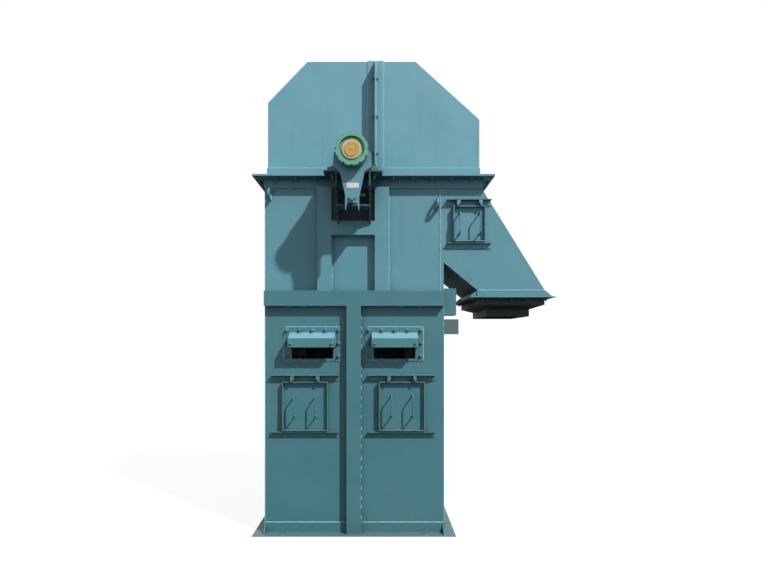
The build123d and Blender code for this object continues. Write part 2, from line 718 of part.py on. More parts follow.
def pillow_block():
    """A split plain-footed bearing housing on the shelf."""
    y = (-BLOCK_Y - BLOCK_WIDTH / 2, -BLOCK_Y + BLOCK_WIDTH / 2)
    half = BLOCK_LENGTH / 2
    body = block((-half, half), y, (SHELF_TOP_Z, SHELF_TOP_Z + BLOCK_FOOT))
    body += block((-BLOCK_RADIUS, BLOCK_RADIUS), y, (SHELF_TOP_Z, SHAFT_Z))
    body += rod_y(0, SHAFT_Z, BLOCK_RADIUS, y)
    ear = BLOCK_RADIUS + BLOCK_FOOT
    ear_y = (y[0] + BLOCK_FOOT / 2, y[1] - BLOCK_FOOT / 2)
    body += block((-ear, ear), ear_y, (SHAFT_Z - BLOCK_FOOT, SHAFT_Z + BLOCK_FOOT))
    body -= rod_y(0, SHAFT_Z, SHAFT_RADIUS + TOUCH, y)
    for side in (-1, 1):
        hole_x = side * BLOCK_BOLT_SPREAD / 2
        body -= rod_z(hole_x, -BLOCK_Y, BLOCK_BOLT_HOLE / 2, (SHELF_TOP_Z, SHELF_TOP_Z + BLOCK_FOOT))
    return body


def head_shaft():
    """The shaft, from inside the backstop to the plain journal for the drive at the rear."""
    front_end = -BACKSTOP_FRONT + BACKSTOP_FACE_DEPTH + BACKSTOP_RING_DEPTH
    shoulder = SHAFT_REAR_END - SHAFT_JOURNAL_LENGTH
    body = rod_y(0, SHAFT_Z, SHAFT_RADIUS, (front_end, shoulder))
    body += rod_y(0, SHAFT_Z, SHAFT_JOURNAL_RADIUS, (shoulder, SHAFT_REAR_END))
    return body


def backstop_housing():
    """The round body of the backstop, its rim notched for the cover bolts."""
    y = (-BACKSTOP_FRONT, -BACKSTOP_REAR)
    body = rod_y(0, SHAFT_Z, BACKSTOP_RADIUS, y)
    body -= rod_y(0, SHAFT_Z, SHAFT_RADIUS + TOUCH, y)
    body -= rod_y(0, SHAFT_Z, BACKSTOP_FACE_RADIUS, (y[0], y[0] + BACKSTOP_FACE_DEPTH))
    notch_y = (y[0], y[0] + BACKSTOP_NOTCH_DEPTH)
    for index in range(BACKSTOP_NOTCHES):
        angle = 2 * pi * index / BACKSTOP_NOTCHES
        notch_x = BACKSTOP_RADIUS * sin(angle)
        notch_z = SHAFT_Z + BACKSTOP_RADIUS * cos(angle)
        body -= rod_y(notch_x, notch_z, BACKSTOP_NOTCH_RADIUS, notch_y)
    return body


def backstop_ring():
    """The ring in the recessed face of the backstop."""
    deep = -BACKSTOP_FRONT + BACKSTOP_FACE_DEPTH
    y = (deep - BACKSTOP_RING_DEPTH, deep)
    return rod_y(0, SHAFT_Z, BACKSTOP_RING_OUTER, y) - rod_y(0, SHAFT_Z, END_CAP_RADIUS, y)


def shaft_end_cap():
    """The disc over the shaft end, seated on the face of the backstop."""
    deep = -BACKSTOP_FRONT + BACKSTOP_FACE_DEPTH
    return rod_y(0, SHAFT_Z, END_CAP_RADIUS, (deep - END_CAP_THICKNESS, deep))


def torque_arm():
    """A tapered channel that hangs from the backstop and is held by the pin."""
    top_z = SHAFT_Z
    web = [
        (-ARM_TOP_WIDTH / 2, top_z),
        (ARM_TOP_WIDTH / 2, top_z),
        (ARM_LOW_WIDTH / 2, ARM_LOW_Z),
        (-ARM_LOW_WIDTH / 2, ARM_LOW_Z),
    ]
    y = (-ARM_FRONT, -ARM_FRONT + ARM_DEPTH)
    body = outline_xz(web, y)
    inner = [
        (-ARM_TOP_WIDTH / 2 + ARM_WALL, top_z),
        (ARM_TOP_WIDTH / 2 - ARM_WALL, top_z),
        (ARM_LOW_WIDTH / 2 - ARM_WALL, ARM_LOW_Z),
        (-ARM_LOW_WIDTH / 2 + ARM_WALL, ARM_LOW_Z),
    ]
    body -= outline_xz(inner, (y[0] + ARM_WALL, y[1]))
    window = (-ARM_LOW_WIDTH / 2 + ARM_WALL, ARM_LOW_WIDTH / 2 - ARM_WALL)
    body -= block(window, (y[0], y[0] + ARM_WALL), (ARM_LOW_Z, ARM_LOW_Z + ARM_FORK))
    body -= rod_y(0, SHAFT_Z, BACKSTOP_RADIUS + TOUCH, y)
    body -= rod_y(0, ARM_PIN_Z, ARM_PIN / 2 + TOUCH, y)
    return body


def torque_pin():
    """The pin from the bracket through the arm, with a head in front and a collar behind."""
    back = -SHELF_FRONT + BRACKET_PLATE
    body = rod_y(0, ARM_PIN_Z, ARM_PIN / 2, (-ARM_FRONT - TOUCH, back + ARM_PIN_HEAD_LENGTH))
    front_face = -ARM_FRONT - TOUCH
    body += rod_y(0, ARM_PIN_Z, ARM_PIN_HEAD, (front_face - ARM_PIN_HEAD_LENGTH, front_face))
    body += rod_y(0, ARM_PIN_Z, ARM_PIN_HEAD, (back + TOUCH, back + ARM_PIN_HEAD_LENGTH))
    return body


# Pulley, belt and buckets
def head_pulley():
    """A drum with a plate in each end and hubs on the shaft."""
    half = PULLEY_WIDTH / 2
    body = rod_y(0, SHAFT_Z, PULLEY_RADIUS, (-half, half))
    bore = PULLEY_RADIUS - PULLEY_RIM
    plate = half - PULLEY_END_RECESS
    for side in (-1, 1):
        body -= rod_y(0, SHAFT_Z, bore, sorted((side * plate, side * half)))
        hub_y = sorted((side * plate, side * (plate + PULLEY_HUB_LENGTH)))
        body += rod_y(0, SHAFT_Z, PULLEY_HUB_RADIUS, hub_y)
    inner = plate - PULLEY_END_PLATE
    body -= rod_y(0, SHAFT_Z, bore, (-inner, inner))
    return body - rod_y(0, SHAFT_Z, SHAFT_RADIUS + TOUCH, (-half, half))


def bucket_belt():
    """The belt up one leg, over the pulley and down the other, ending at the floor."""
    y = (-BELT_WIDTH / 2, BELT_WIDTH / 2)

    def arch(radius):
        return rod_y(0, SHAFT_Z, radius, y) + block((-radius, radius), y, (BELT_RISE, SHAFT_Z))

    return arch(BELT_OUTER) - arch(BELT_INNER)


def bucket():
    """One bucket, its back on X = 0, standing out along +X and open at the top."""
    half = BUCKET_WIDTH / 2
    y = (-half, half)

    def profile(trim):
        low = -BUCKET_BACK / 2 + trim
        out = BUCKET_OUT - trim
        corner = BUCKET_CORNER - trim / 2
        lip = BUCKET_LIP - BUCKET_BACK / 2
        return [
            (trim, BUCKET_BACK / 2),
            (out, lip),
            (out, low + corner),
            (out - corner, low),
            (trim, low),
        ]

    outer = outline_xz(profile(0), y)
    hollow_y = (y[0] + BUCKET_WALL, y[1] - BUCKET_WALL)
    hollow = outline_xz(profile(BUCKET_WALL), hollow_y)
    lid = outline_xz(
        [
            (BUCKET_WALL, BUCKET_BACK / 2),
            (BUCKET_OUT - BUCKET_WALL, BUCKET_LIP - BUCKET_BACK / 2),
            (BUCKET_OUT - BUCKET_WALL, BUCKET_BACK),
            (BUCKET_WALL, BUCKET_BACK),
        ],
        hollow_y,
    )
    return outer - hollow - lid


def buckets():
    """Buckets at an even pitch along the belt: up, over the pulley and down."""
    straight = SHAFT_Z - BUCKET_FIRST_RISE
    radius = BELT_OUTER + TOUCH
    arc = pi * radius
    count = int((2 * straight + arc) / BUCKET_PITCH) + 1
    one = bucket()
    placed = []
    for index in range(count):
        travel = index * BUCKET_PITCH
        if travel <= straight:
            place = Pos(-radius, 0, BUCKET_FIRST_RISE + travel) * Rot(0, 0, 180)
        elif travel < straight + arc:
            turn = degrees((travel - straight) / radius)
            place = Pos(0, 0, SHAFT_Z) * Rot(0, turn, 0) * Pos(-radius, 0, 0) * Rot(0, 0, 180)
        else:
            drop = travel - straight - arc
            place = Pos(radius, 0, SHAFT_Z - drop) * Rot(180, 0, 0)
        placed.append(place * one)
    return placed


def build_casing():
    """Base, lower casing, middle band and upper casing."""
    save("base_flange", base_flange())
    save("front_wall_left", front_wall_lower((-HALF_WIDTH, LOWER_POST_X), LEFT_DOOR_X, LEFT_VENT_X))
    save("front_wall_right", front_wall_lower((LOWER_POST_X, HALF_WIDTH), RIGHT_DOOR_X, RIGHT_VENT_X))
    save("back_wall_lower", block((-HALF_WIDTH, HALF_WIDTH), (INNER, FRONT), (0, MIDDLE_JOINT_Z)))
    left = (-HALF_WIDTH, -HALF_WIDTH + WALL)
    right = (HALF_WIDTH - WALL, HALF_WIDTH)
    save("side_walls_lower", *[block(x, (-INNER, INNER), (0, MIDDLE_JOINT_Z)) for x in (left, right)])
    post = lower_post()
    save("lower_posts", post, rear_copy(post))
    band = channel_rail((-HALF_WIDTH, HALF_WIDTH), (BAND_LOW_Z, BAND_TOP_Z))
    save("mid_bands", band, rear_copy(band))
    wall = front_wall_upper()
    save("front_wall_upper", wall)
    save("back_wall_upper", rear_copy(wall))
    save("left_wall_upper", block(left, (-INNER, INNER), (MIDDLE_JOINT_Z, HEAD_JOINT_Z)))
    save("right_wall_upper", block(right, (-INNER, INNER), (MIDDLE_JOINT_Z, CHUTE_FLOOR_Z)))
    post_z = (BAND_TOP_Z, HEAD_FLANGE_LOW_Z)
    posts = [channel_post(x, post_z) for x in (UPPER_POST_LEFT_X, UPPER_POST_RIGHT_X)]
    save("upper_posts", *posts, *[rear_copy(one) for one in posts])
    rail_x = (UPPER_POST_LEFT_X + POST_WIDTH / 2, UPPER_POST_RIGHT_X - POST_WIDTH / 2)
    rail = channel_rail(rail_x, (RAIL_Z, RAIL_Z + RAIL_HEIGHT))
    save("upper_rails", rail, rear_copy(rail))
    lug_places = [(LEFT_LUG_X, LEFT_LUG_DROP), (RIGHT_LUG_X, RIGHT_LUG_DROP)]
    lugs = [lifting_lug(x, HEAD_JOINT_Z - drop) for x, drop in lug_places]
    save("lifting_lugs", *lugs, *[rear_copy(one) for one in lugs])


def build_chute():
    """Discharge chute, outlet and the fittings on the right side."""
    save("chute_front", chute_front())
    save("chute_back", chute_back())
    save("chute_top", chute_plate(CHUTE_ROOF))
    save("chute_bottom", chute_plate(CHUTE_BED))
    save("outlet_flange", outlet_flange())
    save("outlet_spout", outlet_spout())
    save("side_bracket", side_bracket())
    save("side_box", side_box())


def build_doors():
    """Three doors with their handles and ledges."""
    sizes = {
        "left_door": (LEFT_DOOR_X, DOOR_Z, DOOR_WIDTH, DOOR_HEIGHT, HINGE_SPREAD, HANDLE_SPREAD, LEDGE_LENGTH),
        "right_door": (RIGHT_DOOR_X, DOOR_Z, DOOR_WIDTH, DOOR_HEIGHT, HINGE_SPREAD, HANDLE_SPREAD, LEDGE_LENGTH),
        "chute_door": (
            CHUTE_DOOR_X,
            CHUTE_DOOR_Z,
            CHUTE_DOOR_WIDTH,
            CHUTE_DOOR_HEIGHT,
            CHUTE_HINGE_SPREAD,
            CHUTE_HANDLE_SPREAD,
            CHUTE_LEDGE_LENGTH,
        ),
    }
    for name, (x, z, width, height, hinges, handles, length) in sizes.items():
        save(f"{name}_leaf", door_leaf(x, z, width, height, hinges))
        save(f"{name}_handles", *door_handles(x, z, height, handles))
        save(f"{name}_ledges", *door_ledges(x, z, width, height, hinges, length))


def build_vents():
    """The two vents above the doors."""
    places = (LEFT_VENT_X, RIGHT_VENT_X)
    save("vent_plates", *[vent_plate(x) for x in places])
    save("vent_hoods", *[vent_hood(x) for x in places])


def build_head():
    """Head flanges and the two halves of the hood."""
    save("head_flange_lower", head_flange_lower())
    save("head_flange_upper", head_flange_upper())
    save("hood_cheeks_left", *hood_cheeks(HOOD_LEFT_LINE))
    save("hood_cheeks_right", *hood_cheeks(HOOD_RIGHT_LINE))
    save("hood_wrap_left", hood_wrap(HOOD_LEFT_LINE))
    save("hood_wrap_right", hood_wrap(HOOD_RIGHT_LINE))
    seam = hood_seam()
    save("hood_seams", seam + rear_copy(seam) + seam_strap())


def build_drive():
    """Shaft, bearings, backstop and torque arm."""
    save("front_bearing_bracket", bearing_bracket(True))
    save("rear_bearing_bracket", rear_copy(bearing_bracket(False)))
    block_piece = pillow_block()
    save("pillow_blocks", block_piece, rear_copy(block_piece))
    save("head_shaft", head_shaft())
    save("backstop_housing", backstop_housing())
    save("backstop_ring", backstop_ring())
    save("shaft_end_cap", shaft_end_cap())
    save("torque_arm", torque_arm())
    save("torque_pin", torque_pin())


def build_inside():
    """What lifts the load inside the casing."""
    save("head_pulley", head_pulley())
    save("bucket_belt", bucket_belt())
    save("buckets", *buckets())


os.makedirs("parts", exist_ok=True)
build_casing()
build_chute()
build_doors()
build_vents()
build_head()
build_drive()
build_inside()
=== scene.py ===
import logging
import math
from dataclasses import dataclass
from enum import Enum

import bmesh
import bpy
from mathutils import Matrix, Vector


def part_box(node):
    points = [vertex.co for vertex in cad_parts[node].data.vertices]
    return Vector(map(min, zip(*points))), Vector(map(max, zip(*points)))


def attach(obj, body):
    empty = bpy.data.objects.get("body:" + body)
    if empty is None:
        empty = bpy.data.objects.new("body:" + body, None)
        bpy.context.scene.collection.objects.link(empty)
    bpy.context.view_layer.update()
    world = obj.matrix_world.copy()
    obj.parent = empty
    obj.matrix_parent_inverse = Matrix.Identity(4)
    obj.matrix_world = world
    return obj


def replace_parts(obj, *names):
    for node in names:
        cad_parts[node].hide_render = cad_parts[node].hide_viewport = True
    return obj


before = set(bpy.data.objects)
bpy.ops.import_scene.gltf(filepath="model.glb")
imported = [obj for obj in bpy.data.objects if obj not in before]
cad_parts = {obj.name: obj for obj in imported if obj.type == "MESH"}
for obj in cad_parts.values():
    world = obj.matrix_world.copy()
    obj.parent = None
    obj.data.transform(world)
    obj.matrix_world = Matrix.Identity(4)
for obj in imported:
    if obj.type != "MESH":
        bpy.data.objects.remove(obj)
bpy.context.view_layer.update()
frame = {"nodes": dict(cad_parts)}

LOG = logging.getLogger("bucket_elevator")
CASING = "casing"
WHITE = (1.0, 1.0, 1.0, 1.0)

# Radii of weld beads, by where they run.
PLATE_BEAD = 0.0055
STRAP_BEAD = 0.0045
EDGE_BEAD = 0.004
CORNER_BEAD = 0.0035
GUSSET_BEAD = 0.006

# How far a fastener's foot goes into the face it stands on.
SUNK = 0.001

Colour = tuple[float, float, float]
Point = tuple[float, float, float]
Value = float | bpy.types.NodeSocket
Tone = tuple | bpy.types.NodeSocket


class Wear(Enum):
    """How far the weather has gone into a painted surface."""

    FRESH = 0.25
    USED = 0.6
    WORN = 1.0


class Face(Enum):
    """The side of the machine that a fastener looks to."""

    FRONT = (0.0, -1.0, 0.0)
    REAR = (0.0, 1.0, 0.0)
    LEFT = (-1.0, 0.0, 0.0)
    RIGHT = (1.0, 0.0, 0.0)
    UP = (0.0, 0.0, 1.0)
    DOWN = (0.0, 0.0, -1.0)


@dataclass(frozen=True)
class Pattern:
    """A noise pattern, and the two values of it that become 0 and 1."""

    scale: float
    detail: float
    low: float
    high: float
    stretch: Point = (1.0, 1.0, 1.0)


EDGE_PATCHES = Pattern(14.0, 5.0, 0.38, 0.66)
FADING = Pattern(1.3, 4.0, 0.35, 0.7)
PATCHES = Pattern(7.0, 6.0, 0.35, 0.75, (1.0, 1.0, 0.6))
RUNS = Pattern(13.0, 5.0, 0.52, 0.78, (1.0, 1.0, 0.045))
RUN_AREAS = Pattern(2.1, 3.0, 0.4, 0.65)
DUST = Pattern(22.0, 4.0, 0.3, 0.6)
SPECKS = Pattern(55.0, 3.0, 0.685, 0.73)
SPECK_AREAS = Pattern(3.4, 4.0, 0.5, 0.66)
FLOOR_TONES = Pattern(0.8, 3.0, 0.2, 0.8)


class NodeSketch:
    """A short way to write a node tree: nodes go in by type, with values or sockets as inputs."""

    def __init__(self, tree: bpy.types.NodeTree) -> None:
        """Start with the tree that the nodes go into.

        Args:
            tree: The node tree of a material, a world or a group.
        """
        self.tree = tree

    def add(self, kind: str, inputs: dict | None = None, **settings: object) -> bpy.types.Node:
        """Add one node.

        Args:
            kind: The node's type name without the ShaderNode prefix.
            inputs: Values or sockets by input name or index.
            settings: Properties of the node itself.

        Returns:
            The new node.
        """
        node = self.tree.nodes.new("ShaderNode" + kind)
        for name, value in settings.items():
            setattr(node, name, value)
        for key, value in (inputs or {}).items():
            if isinstance(value, bpy.types.NodeSocket):
                self.tree.links.new(value, node.inputs[key])
            else:
                node.inputs[key].default_value = value
        return node

    def math(
        self, operation: str, first: Value, second: Value = 0.0, clamp: bool = False
    ) -> bpy.types.NodeSocket:
        """Add a math node.

        Args:
            operation: The operation's name, such as MULTIPLY.
            first: The first value or socket.
            second: The second value or socket.
            clamp: Whether the result is held between 0 and 1.

        Returns:
            The result socket.
        """
        node = self.add("Math", {0: first, 1: second}, operation=operation, use_clamp=clamp)
        return node.outputs[0]

    def mix(self, factor: Value, first: Tone, second: Tone) -> bpy.types.NodeSocket:
        """Mix two colours.

        Args:
            factor: How much of the second colour shows.
            first: The first colour or socket.
            second: The second colour or socket.

        Returns:
            The mixed colour socket.
        """
        node = self.add("Mix", data_type="RGBA")
        for index, value in ((0, factor), (6, first), (7, second)):
            socket = node.inputs[index]
            if isinstance(value, bpy.types.NodeSocket):
                self.tree.links.new(value, socket)
            else:
                socket.default_value = value
        return node.outputs[2]

    def ramp(self, value: bpy.types.NodeSocket, low: float, high: float) -> bpy.types.NodeSocket:
        """Stretch a value so that low becomes 0 and high becomes 1.

        Args:
            value: The socket to stretch.
            low: The value that becomes 0.
            high: The value that becomes 1.

        Returns:
            The stretched and clamped socket.
        """
        node = self.add("MapRange", {0: value, 1: low, 2: high}, clamp=True)
        return node.outputs[0]

    def noise(
        self, scale: float, detail: float, stretch: Point = (1.0, 1.0, 1.0)
    ) -> bpy.types.NodeSocket:
        """Add noise in the machine's own metres.

        Args:
            scale: Features to the metre.
            detail: Octaves of finer noise.
            stretch: Scale along each axis.

        Returns:
            The noise value socket.
        """
        place = self.add("TexCoord").outputs["Object"]
        turned = self.add("Mapping", {"Vector": place, "Scale": stretch}).outputs[0]
        inputs = {"Vector": turned, "Scale": scale, "Detail": detail, "Roughness": 0.6}
        return self.add("TexNoise", inputs).outputs[0]

    def pattern(self, look: Pattern) -> bpy.types.NodeSocket:
        """Add a noise pattern that runs from 0 to 1."""
        return self.ramp(self.noise(look.scale, look.detail, look.stretch), look.low, look.high)

    def upward(self) -> bpy.types.NodeSocket:
        """Give how far a face looks up, as the Z of its normal."""
        normal = self.add("NewGeometry").outputs["Normal"]
        return self.add("SeparateXYZ", {0: normal}).outputs[2]


def colour4(colour: Colour) -> tuple[float, float, float, float]:
    """Give a colour its alpha."""
    return (*colour, 1.0)


def group_tree(name: str, inputs: dict[str, str], outputs: dict[str, str]) -> tuple:
    """Start a shader node group.

    Args:
        name: The group's name.
        inputs: Socket kind by input name.
        outputs: Socket kind by output name.

    Returns:
        The group's tree, a sketch of it, its input node and its output node.
    """
    tree = bpy.data.node_groups.new(name, "ShaderNodeTree")
    for socket, kind in inputs.items():
        tree.interface.new_socket(name=socket, in_out="INPUT", socket_type="NodeSocket" + kind)
    for socket, kind in outputs.items():
        tree.interface.new_socket(name=socket, in_out="OUTPUT", socket_type="NodeSocket" + kind)
    sketch = NodeSketch(tree)
    given, result = (tree.nodes.new(kind) for kind in ("NodeGroupInput", "NodeGroupOutput"))
    return tree, sketch, given, result


class Effects:
    """The shader groups that several finishes share, each built once."""

    # How far a face turns at an edge before the edge shows, and where it shows in full.
    EDGE_TURN = (0.02, 0.22)
    BEVEL_SAMPLES = 4
    # How strongly patches, fading, runs and dust show at most.
    PATCH_SHARE = 0.4
    FADE_SHARE = 0.55
    RUN_SHARE = 0.6
    DUST_SHARE = 0.55
    # How level a face is before dust settles on it, and where it is covered.
    LEVEL = (0.95, 0.995)
    # How far the painted corner shade reaches in metres, and how closed a corner is where the painted
    # shade starts and ends.
    SHADE_REACH = 0.3
    SHADE_SAMPLES = 6
    PAINTED_SHADE = (0.25, 0.95)
    # How much the painted corner shade varies with the patches, and how much there is at least.
    SHADE_AMOUNT = (0.15, 0.7)
    # Scale, detail and height of the paint's peel and of the plates' waves, and the depth of rust.
    PEEL = (160.0, 2.0, 0.0004)
    WAVES = (2.6, 1.0, 0.012)
    PITS = -0.0006

    def __init__(self) -> None:
        """Build every group."""
        self.edges = self._edges()
        self.weather = self._weather()
        self.grain = self._grain()

    @staticmethod
    def _edges() -> bpy.types.NodeTree:
        """Build the group that finds edges and rounds their shading.

        Returns:
            A group with a Radius and a Spread, giving an Edge mask and a Normal.
        """
        inputs = {"Radius": "Float", "Spread": "Float"}
        outputs = {"Edge": "Float", "Normal": "Vector"}
        tree, sketch, given, result = group_tree("edge_wear_and_highlight", inputs, outputs)
        soft = sketch.add("Bevel", {"Radius": given.outputs["Radius"]}, samples=Effects.BEVEL_SAMPLES)
        wide = sketch.add("Bevel", {"Radius": given.outputs["Spread"]}, samples=Effects.BEVEL_SAMPLES)
        flat = sketch.add("NewGeometry").outputs["Normal"]
        normals = {0: wide.outputs[0], 1: flat}
        dot = sketch.add("VectorMath", normals, operation="DOT_PRODUCT").outputs["Value"]
        bare = sketch.math("SUBTRACT", 1.0, dot)
        patches = sketch.pattern(EDGE_PATCHES)
        edge = sketch.math("MULTIPLY", sketch.ramp(bare, *Effects.EDGE_TURN), patches)
        tree.links.new(edge, result.inputs["Edge"])
        tree.links.new(soft.outputs[0], result.inputs["Normal"])
        return tree

    @staticmethod
    def _weather() -> bpy.types.NodeTree:
        """Build the group of fading, run marks, dust, painted shade in closed corners and rust specks.

        Returns:
            A group that turns a paint colour into a weathered one, with masks and a height.
        """
        inputs = dict.fromkeys(("Paint", "Faded", "Grime", "Painted_shade", "Rust"), "Color") | {"Wear": "Float"}
        outputs = {"Color": "Color", "Rusted": "Float", "Dull": "Float", "Height": "Float"}
        tree, sketch, given, result = group_tree("weathered_paint_and_corner_shade", inputs, outputs)
        wear = given.outputs["Wear"]
        broad = sketch.pattern(FADING)
        patch = sketch.pattern(PATCHES)
        fade = sketch.math("ADD", sketch.math("MULTIPLY", patch, Effects.PATCH_SHARE), broad)
        fade = sketch.math("MULTIPLY", fade, wear, True)
        share = sketch.math("MULTIPLY", fade, Effects.FADE_SHARE)
        faded = sketch.mix(share, given.outputs["Paint"], given.outputs["Faded"])
        runs = sketch.pattern(RUNS)
        runs = sketch.math("MULTIPLY", runs, sketch.pattern(RUN_AREAS))
        grime = sketch.math("MULTIPLY", sketch.math("MULTIPLY", runs, Effects.RUN_SHARE), wear)
        level = sketch.ramp(sketch.upward(), *Effects.LEVEL)
        settled = sketch.math("MULTIPLY", level, sketch.pattern(DUST))
        grime = sketch.math("ADD", grime, sketch.math("MULTIPLY", settled, Effects.DUST_SHARE), True)
        dirt_and_shade = sketch.mix(grime, faded, given.outputs["Grime"])
        # Painted shade: ambient occlusion darkens closed corners and recesses towards a near-black
        # colour.
        reach = {"Distance": Effects.SHADE_REACH}
        sky = sketch.add("AmbientOcclusion", reach, samples=Effects.SHADE_SAMPLES)
        closed = sketch.math("SUBTRACT", 1.0, sky.outputs["AO"])
        shade_mask = sketch.ramp(closed, *Effects.PAINTED_SHADE)
        uneven, least = Effects.SHADE_AMOUNT
        painted_shade = sketch.math("ADD", sketch.math("MULTIPLY", patch, uneven), least)
        painted_shade = sketch.math("MULTIPLY", shade_mask, painted_shade)
        dirt_and_shade = sketch.mix(painted_shade, dirt_and_shade, given.outputs["Painted_shade"])
        specks = sketch.pattern(SPECKS)
        specks = sketch.math("MULTIPLY", specks, sketch.pattern(SPECK_AREAS))
        rusted = sketch.math("MULTIPLY", specks, wear, True)
        tree.links.new(sketch.mix(rusted, dirt_and_shade, given.outputs["Rust"]), result.inputs["Color"])
        tree.links.new(rusted, result.inputs["Rusted"])
        tree.links.new(sketch.math("MAXIMUM", fade, grime), result.inputs["Dull"])
        peel, waves = (
            sketch.math("MULTIPLY", sketch.noise(scale, detail), depth)
            for scale, detail, depth in (Effects.PEEL, Effects.WAVES)
        )
        pits = sketch.math("MULTIPLY", rusted, Effects.PITS)
        height = sketch.math("ADD", sketch.math("ADD", peel, waves), pits)
        tree.links.new(height, result.inputs["Height"])
        return tree

    @staticmethod
    def _grain() -> bpy.types.NodeTree:
        """Build the group of directional or even grain for bare metal, castings and rubber.

        Returns:
            A group with a Scale, a Stretch and a Depth, giving a Value and a Height.
        """
        inputs = {"Scale": "Float", "Stretch": "Vector", "Depth": "Float"}
        outputs = {"Value": "Float", "Height": "Float"}
        tree, sketch, given, result = group_tree("metal_grain", inputs, outputs)
        place = sketch.add("TexCoord").outputs["Object"]
        turned = sketch.add("Mapping", {"Vector": place, "Scale": given.outputs["Stretch"]}).outputs[0]
        noise = {"Vector": turned, "Scale": given.outputs["Scale"], "Detail": 5.0}
        fine = sketch.add("TexNoise", noise).outputs[0]
        tree.links.new(fine, result.inputs["Value"])
        tree.links.new(sketch.math("MULTIPLY", fine, given.outputs["Depth"]), result.inputs["Height"])
        return tree


@dataclass(frozen=True)
class PaintFinish:
    """Weathered paint over steel plate or a casting, with painted shade in closed corners, a painted
    highlight on edges and, where set, painted light on upward faces.
    """

    name: str
    paint: Colour
    faded: Colour
    wear: Wear = Wear.USED
    roughness: float = 0.46
    # Lighter teal on edges: partly rubbed paint, partly a painted highlight along the edges.
    worn_edge_highlight: Colour = (0.34, 0.52, 0.54)
    grime: Colour = (0.13, 0.15, 0.13)
    # Near-black colour of the painted shade in closed corners and recesses.
    painted_shade: Colour = (0.012, 0.026, 0.03)
    rust: Colour = (0.16, 0.06, 0.02)
    edge_radius: float = 0.0025
    edge_spread: float = 0.006
    grain: float = 0.0
    grain_scale: float = 260.0
    # Painted light: upward faces are lightened towards this colour, as if lit from above.
    painted_top_light: Colour = (0.16, 0.37, 0.435)
    painted_top_light_share: float = 0.0
    sunny: tuple[float, float] = (0.25, 0.6)
    worn_edge_highlight_share: float = 0.6
    dulling: float = 0.22
    rust_dulling: float = 0.4
    bump: float = 0.7

    def build(self, effects: Effects) -> bpy.types.Material:
        """Make the material.

        Args:
            effects: The shared shader groups.

        Returns:
            The finished material.
        """
        material, sketch, shader = new_material(self.name)
        weather = sketch.add("Group", node_tree=effects.weather)
        for socket in ("Paint", "Faded", "Grime", "Painted_shade", "Rust"):
            weather.inputs[socket].default_value = colour4(getattr(self, socket.lower()))
        weather.inputs["Wear"].default_value = self.wear.value
        edges = sketch.add("Group", node_tree=effects.edges)
        edges.inputs["Radius"].default_value = self.edge_radius
        edges.inputs["Spread"].default_value = self.edge_spread
        # Edges are lightened: partly rubbed paint, partly a painted highlight.
        worn_edge_highlight_mask = sketch.math("MULTIPLY", edges.outputs["Edge"], self.wear.value * self.worn_edge_highlight_share)
        colour = sketch.mix(worn_edge_highlight_mask, weather.outputs["Color"], colour4(self.worn_edge_highlight))
        # Painted light: upward faces are lightened as if lit from above.
        if self.painted_top_light_share:
            lit = sketch.ramp(sketch.upward(), *self.sunny)
            sunny = sketch.math("MULTIPLY", lit, self.painted_top_light_share)
            colour = sketch.mix(sunny, colour, colour4(self.painted_top_light))
        rough = sketch.math("MULTIPLY_ADD", weather.outputs["Dull"], self.dulling)
        rough.node.inputs[2].default_value = self.roughness
        height = weather.outputs["Height"]
        if self.grain:
            inputs = {"Scale": self.grain_scale, "Stretch": (1.0, 1.0, 1.0), "Depth": self.grain}
            cast = sketch.add("Group", inputs, node_tree=effects.grain)
            height = sketch.math("ADD", height, cast.outputs["Height"])
        inputs = {"Height": height, "Distance": 1.0, "Strength": self.bump}
        bump = sketch.add("Bump", {**inputs, "Normal": edges.outputs["Normal"]})
        rusted = sketch.math("MULTIPLY", weather.outputs["Rusted"], self.rust_dulling)
        links = material.node_tree.links
        links.new(colour, shader.inputs["Base Color"])
        links.new(sketch.math("ADD", rough, rusted, True), shader.inputs["Roughness"])
        links.new(bump.outputs[0], shader.inputs["Normal"])
        return material


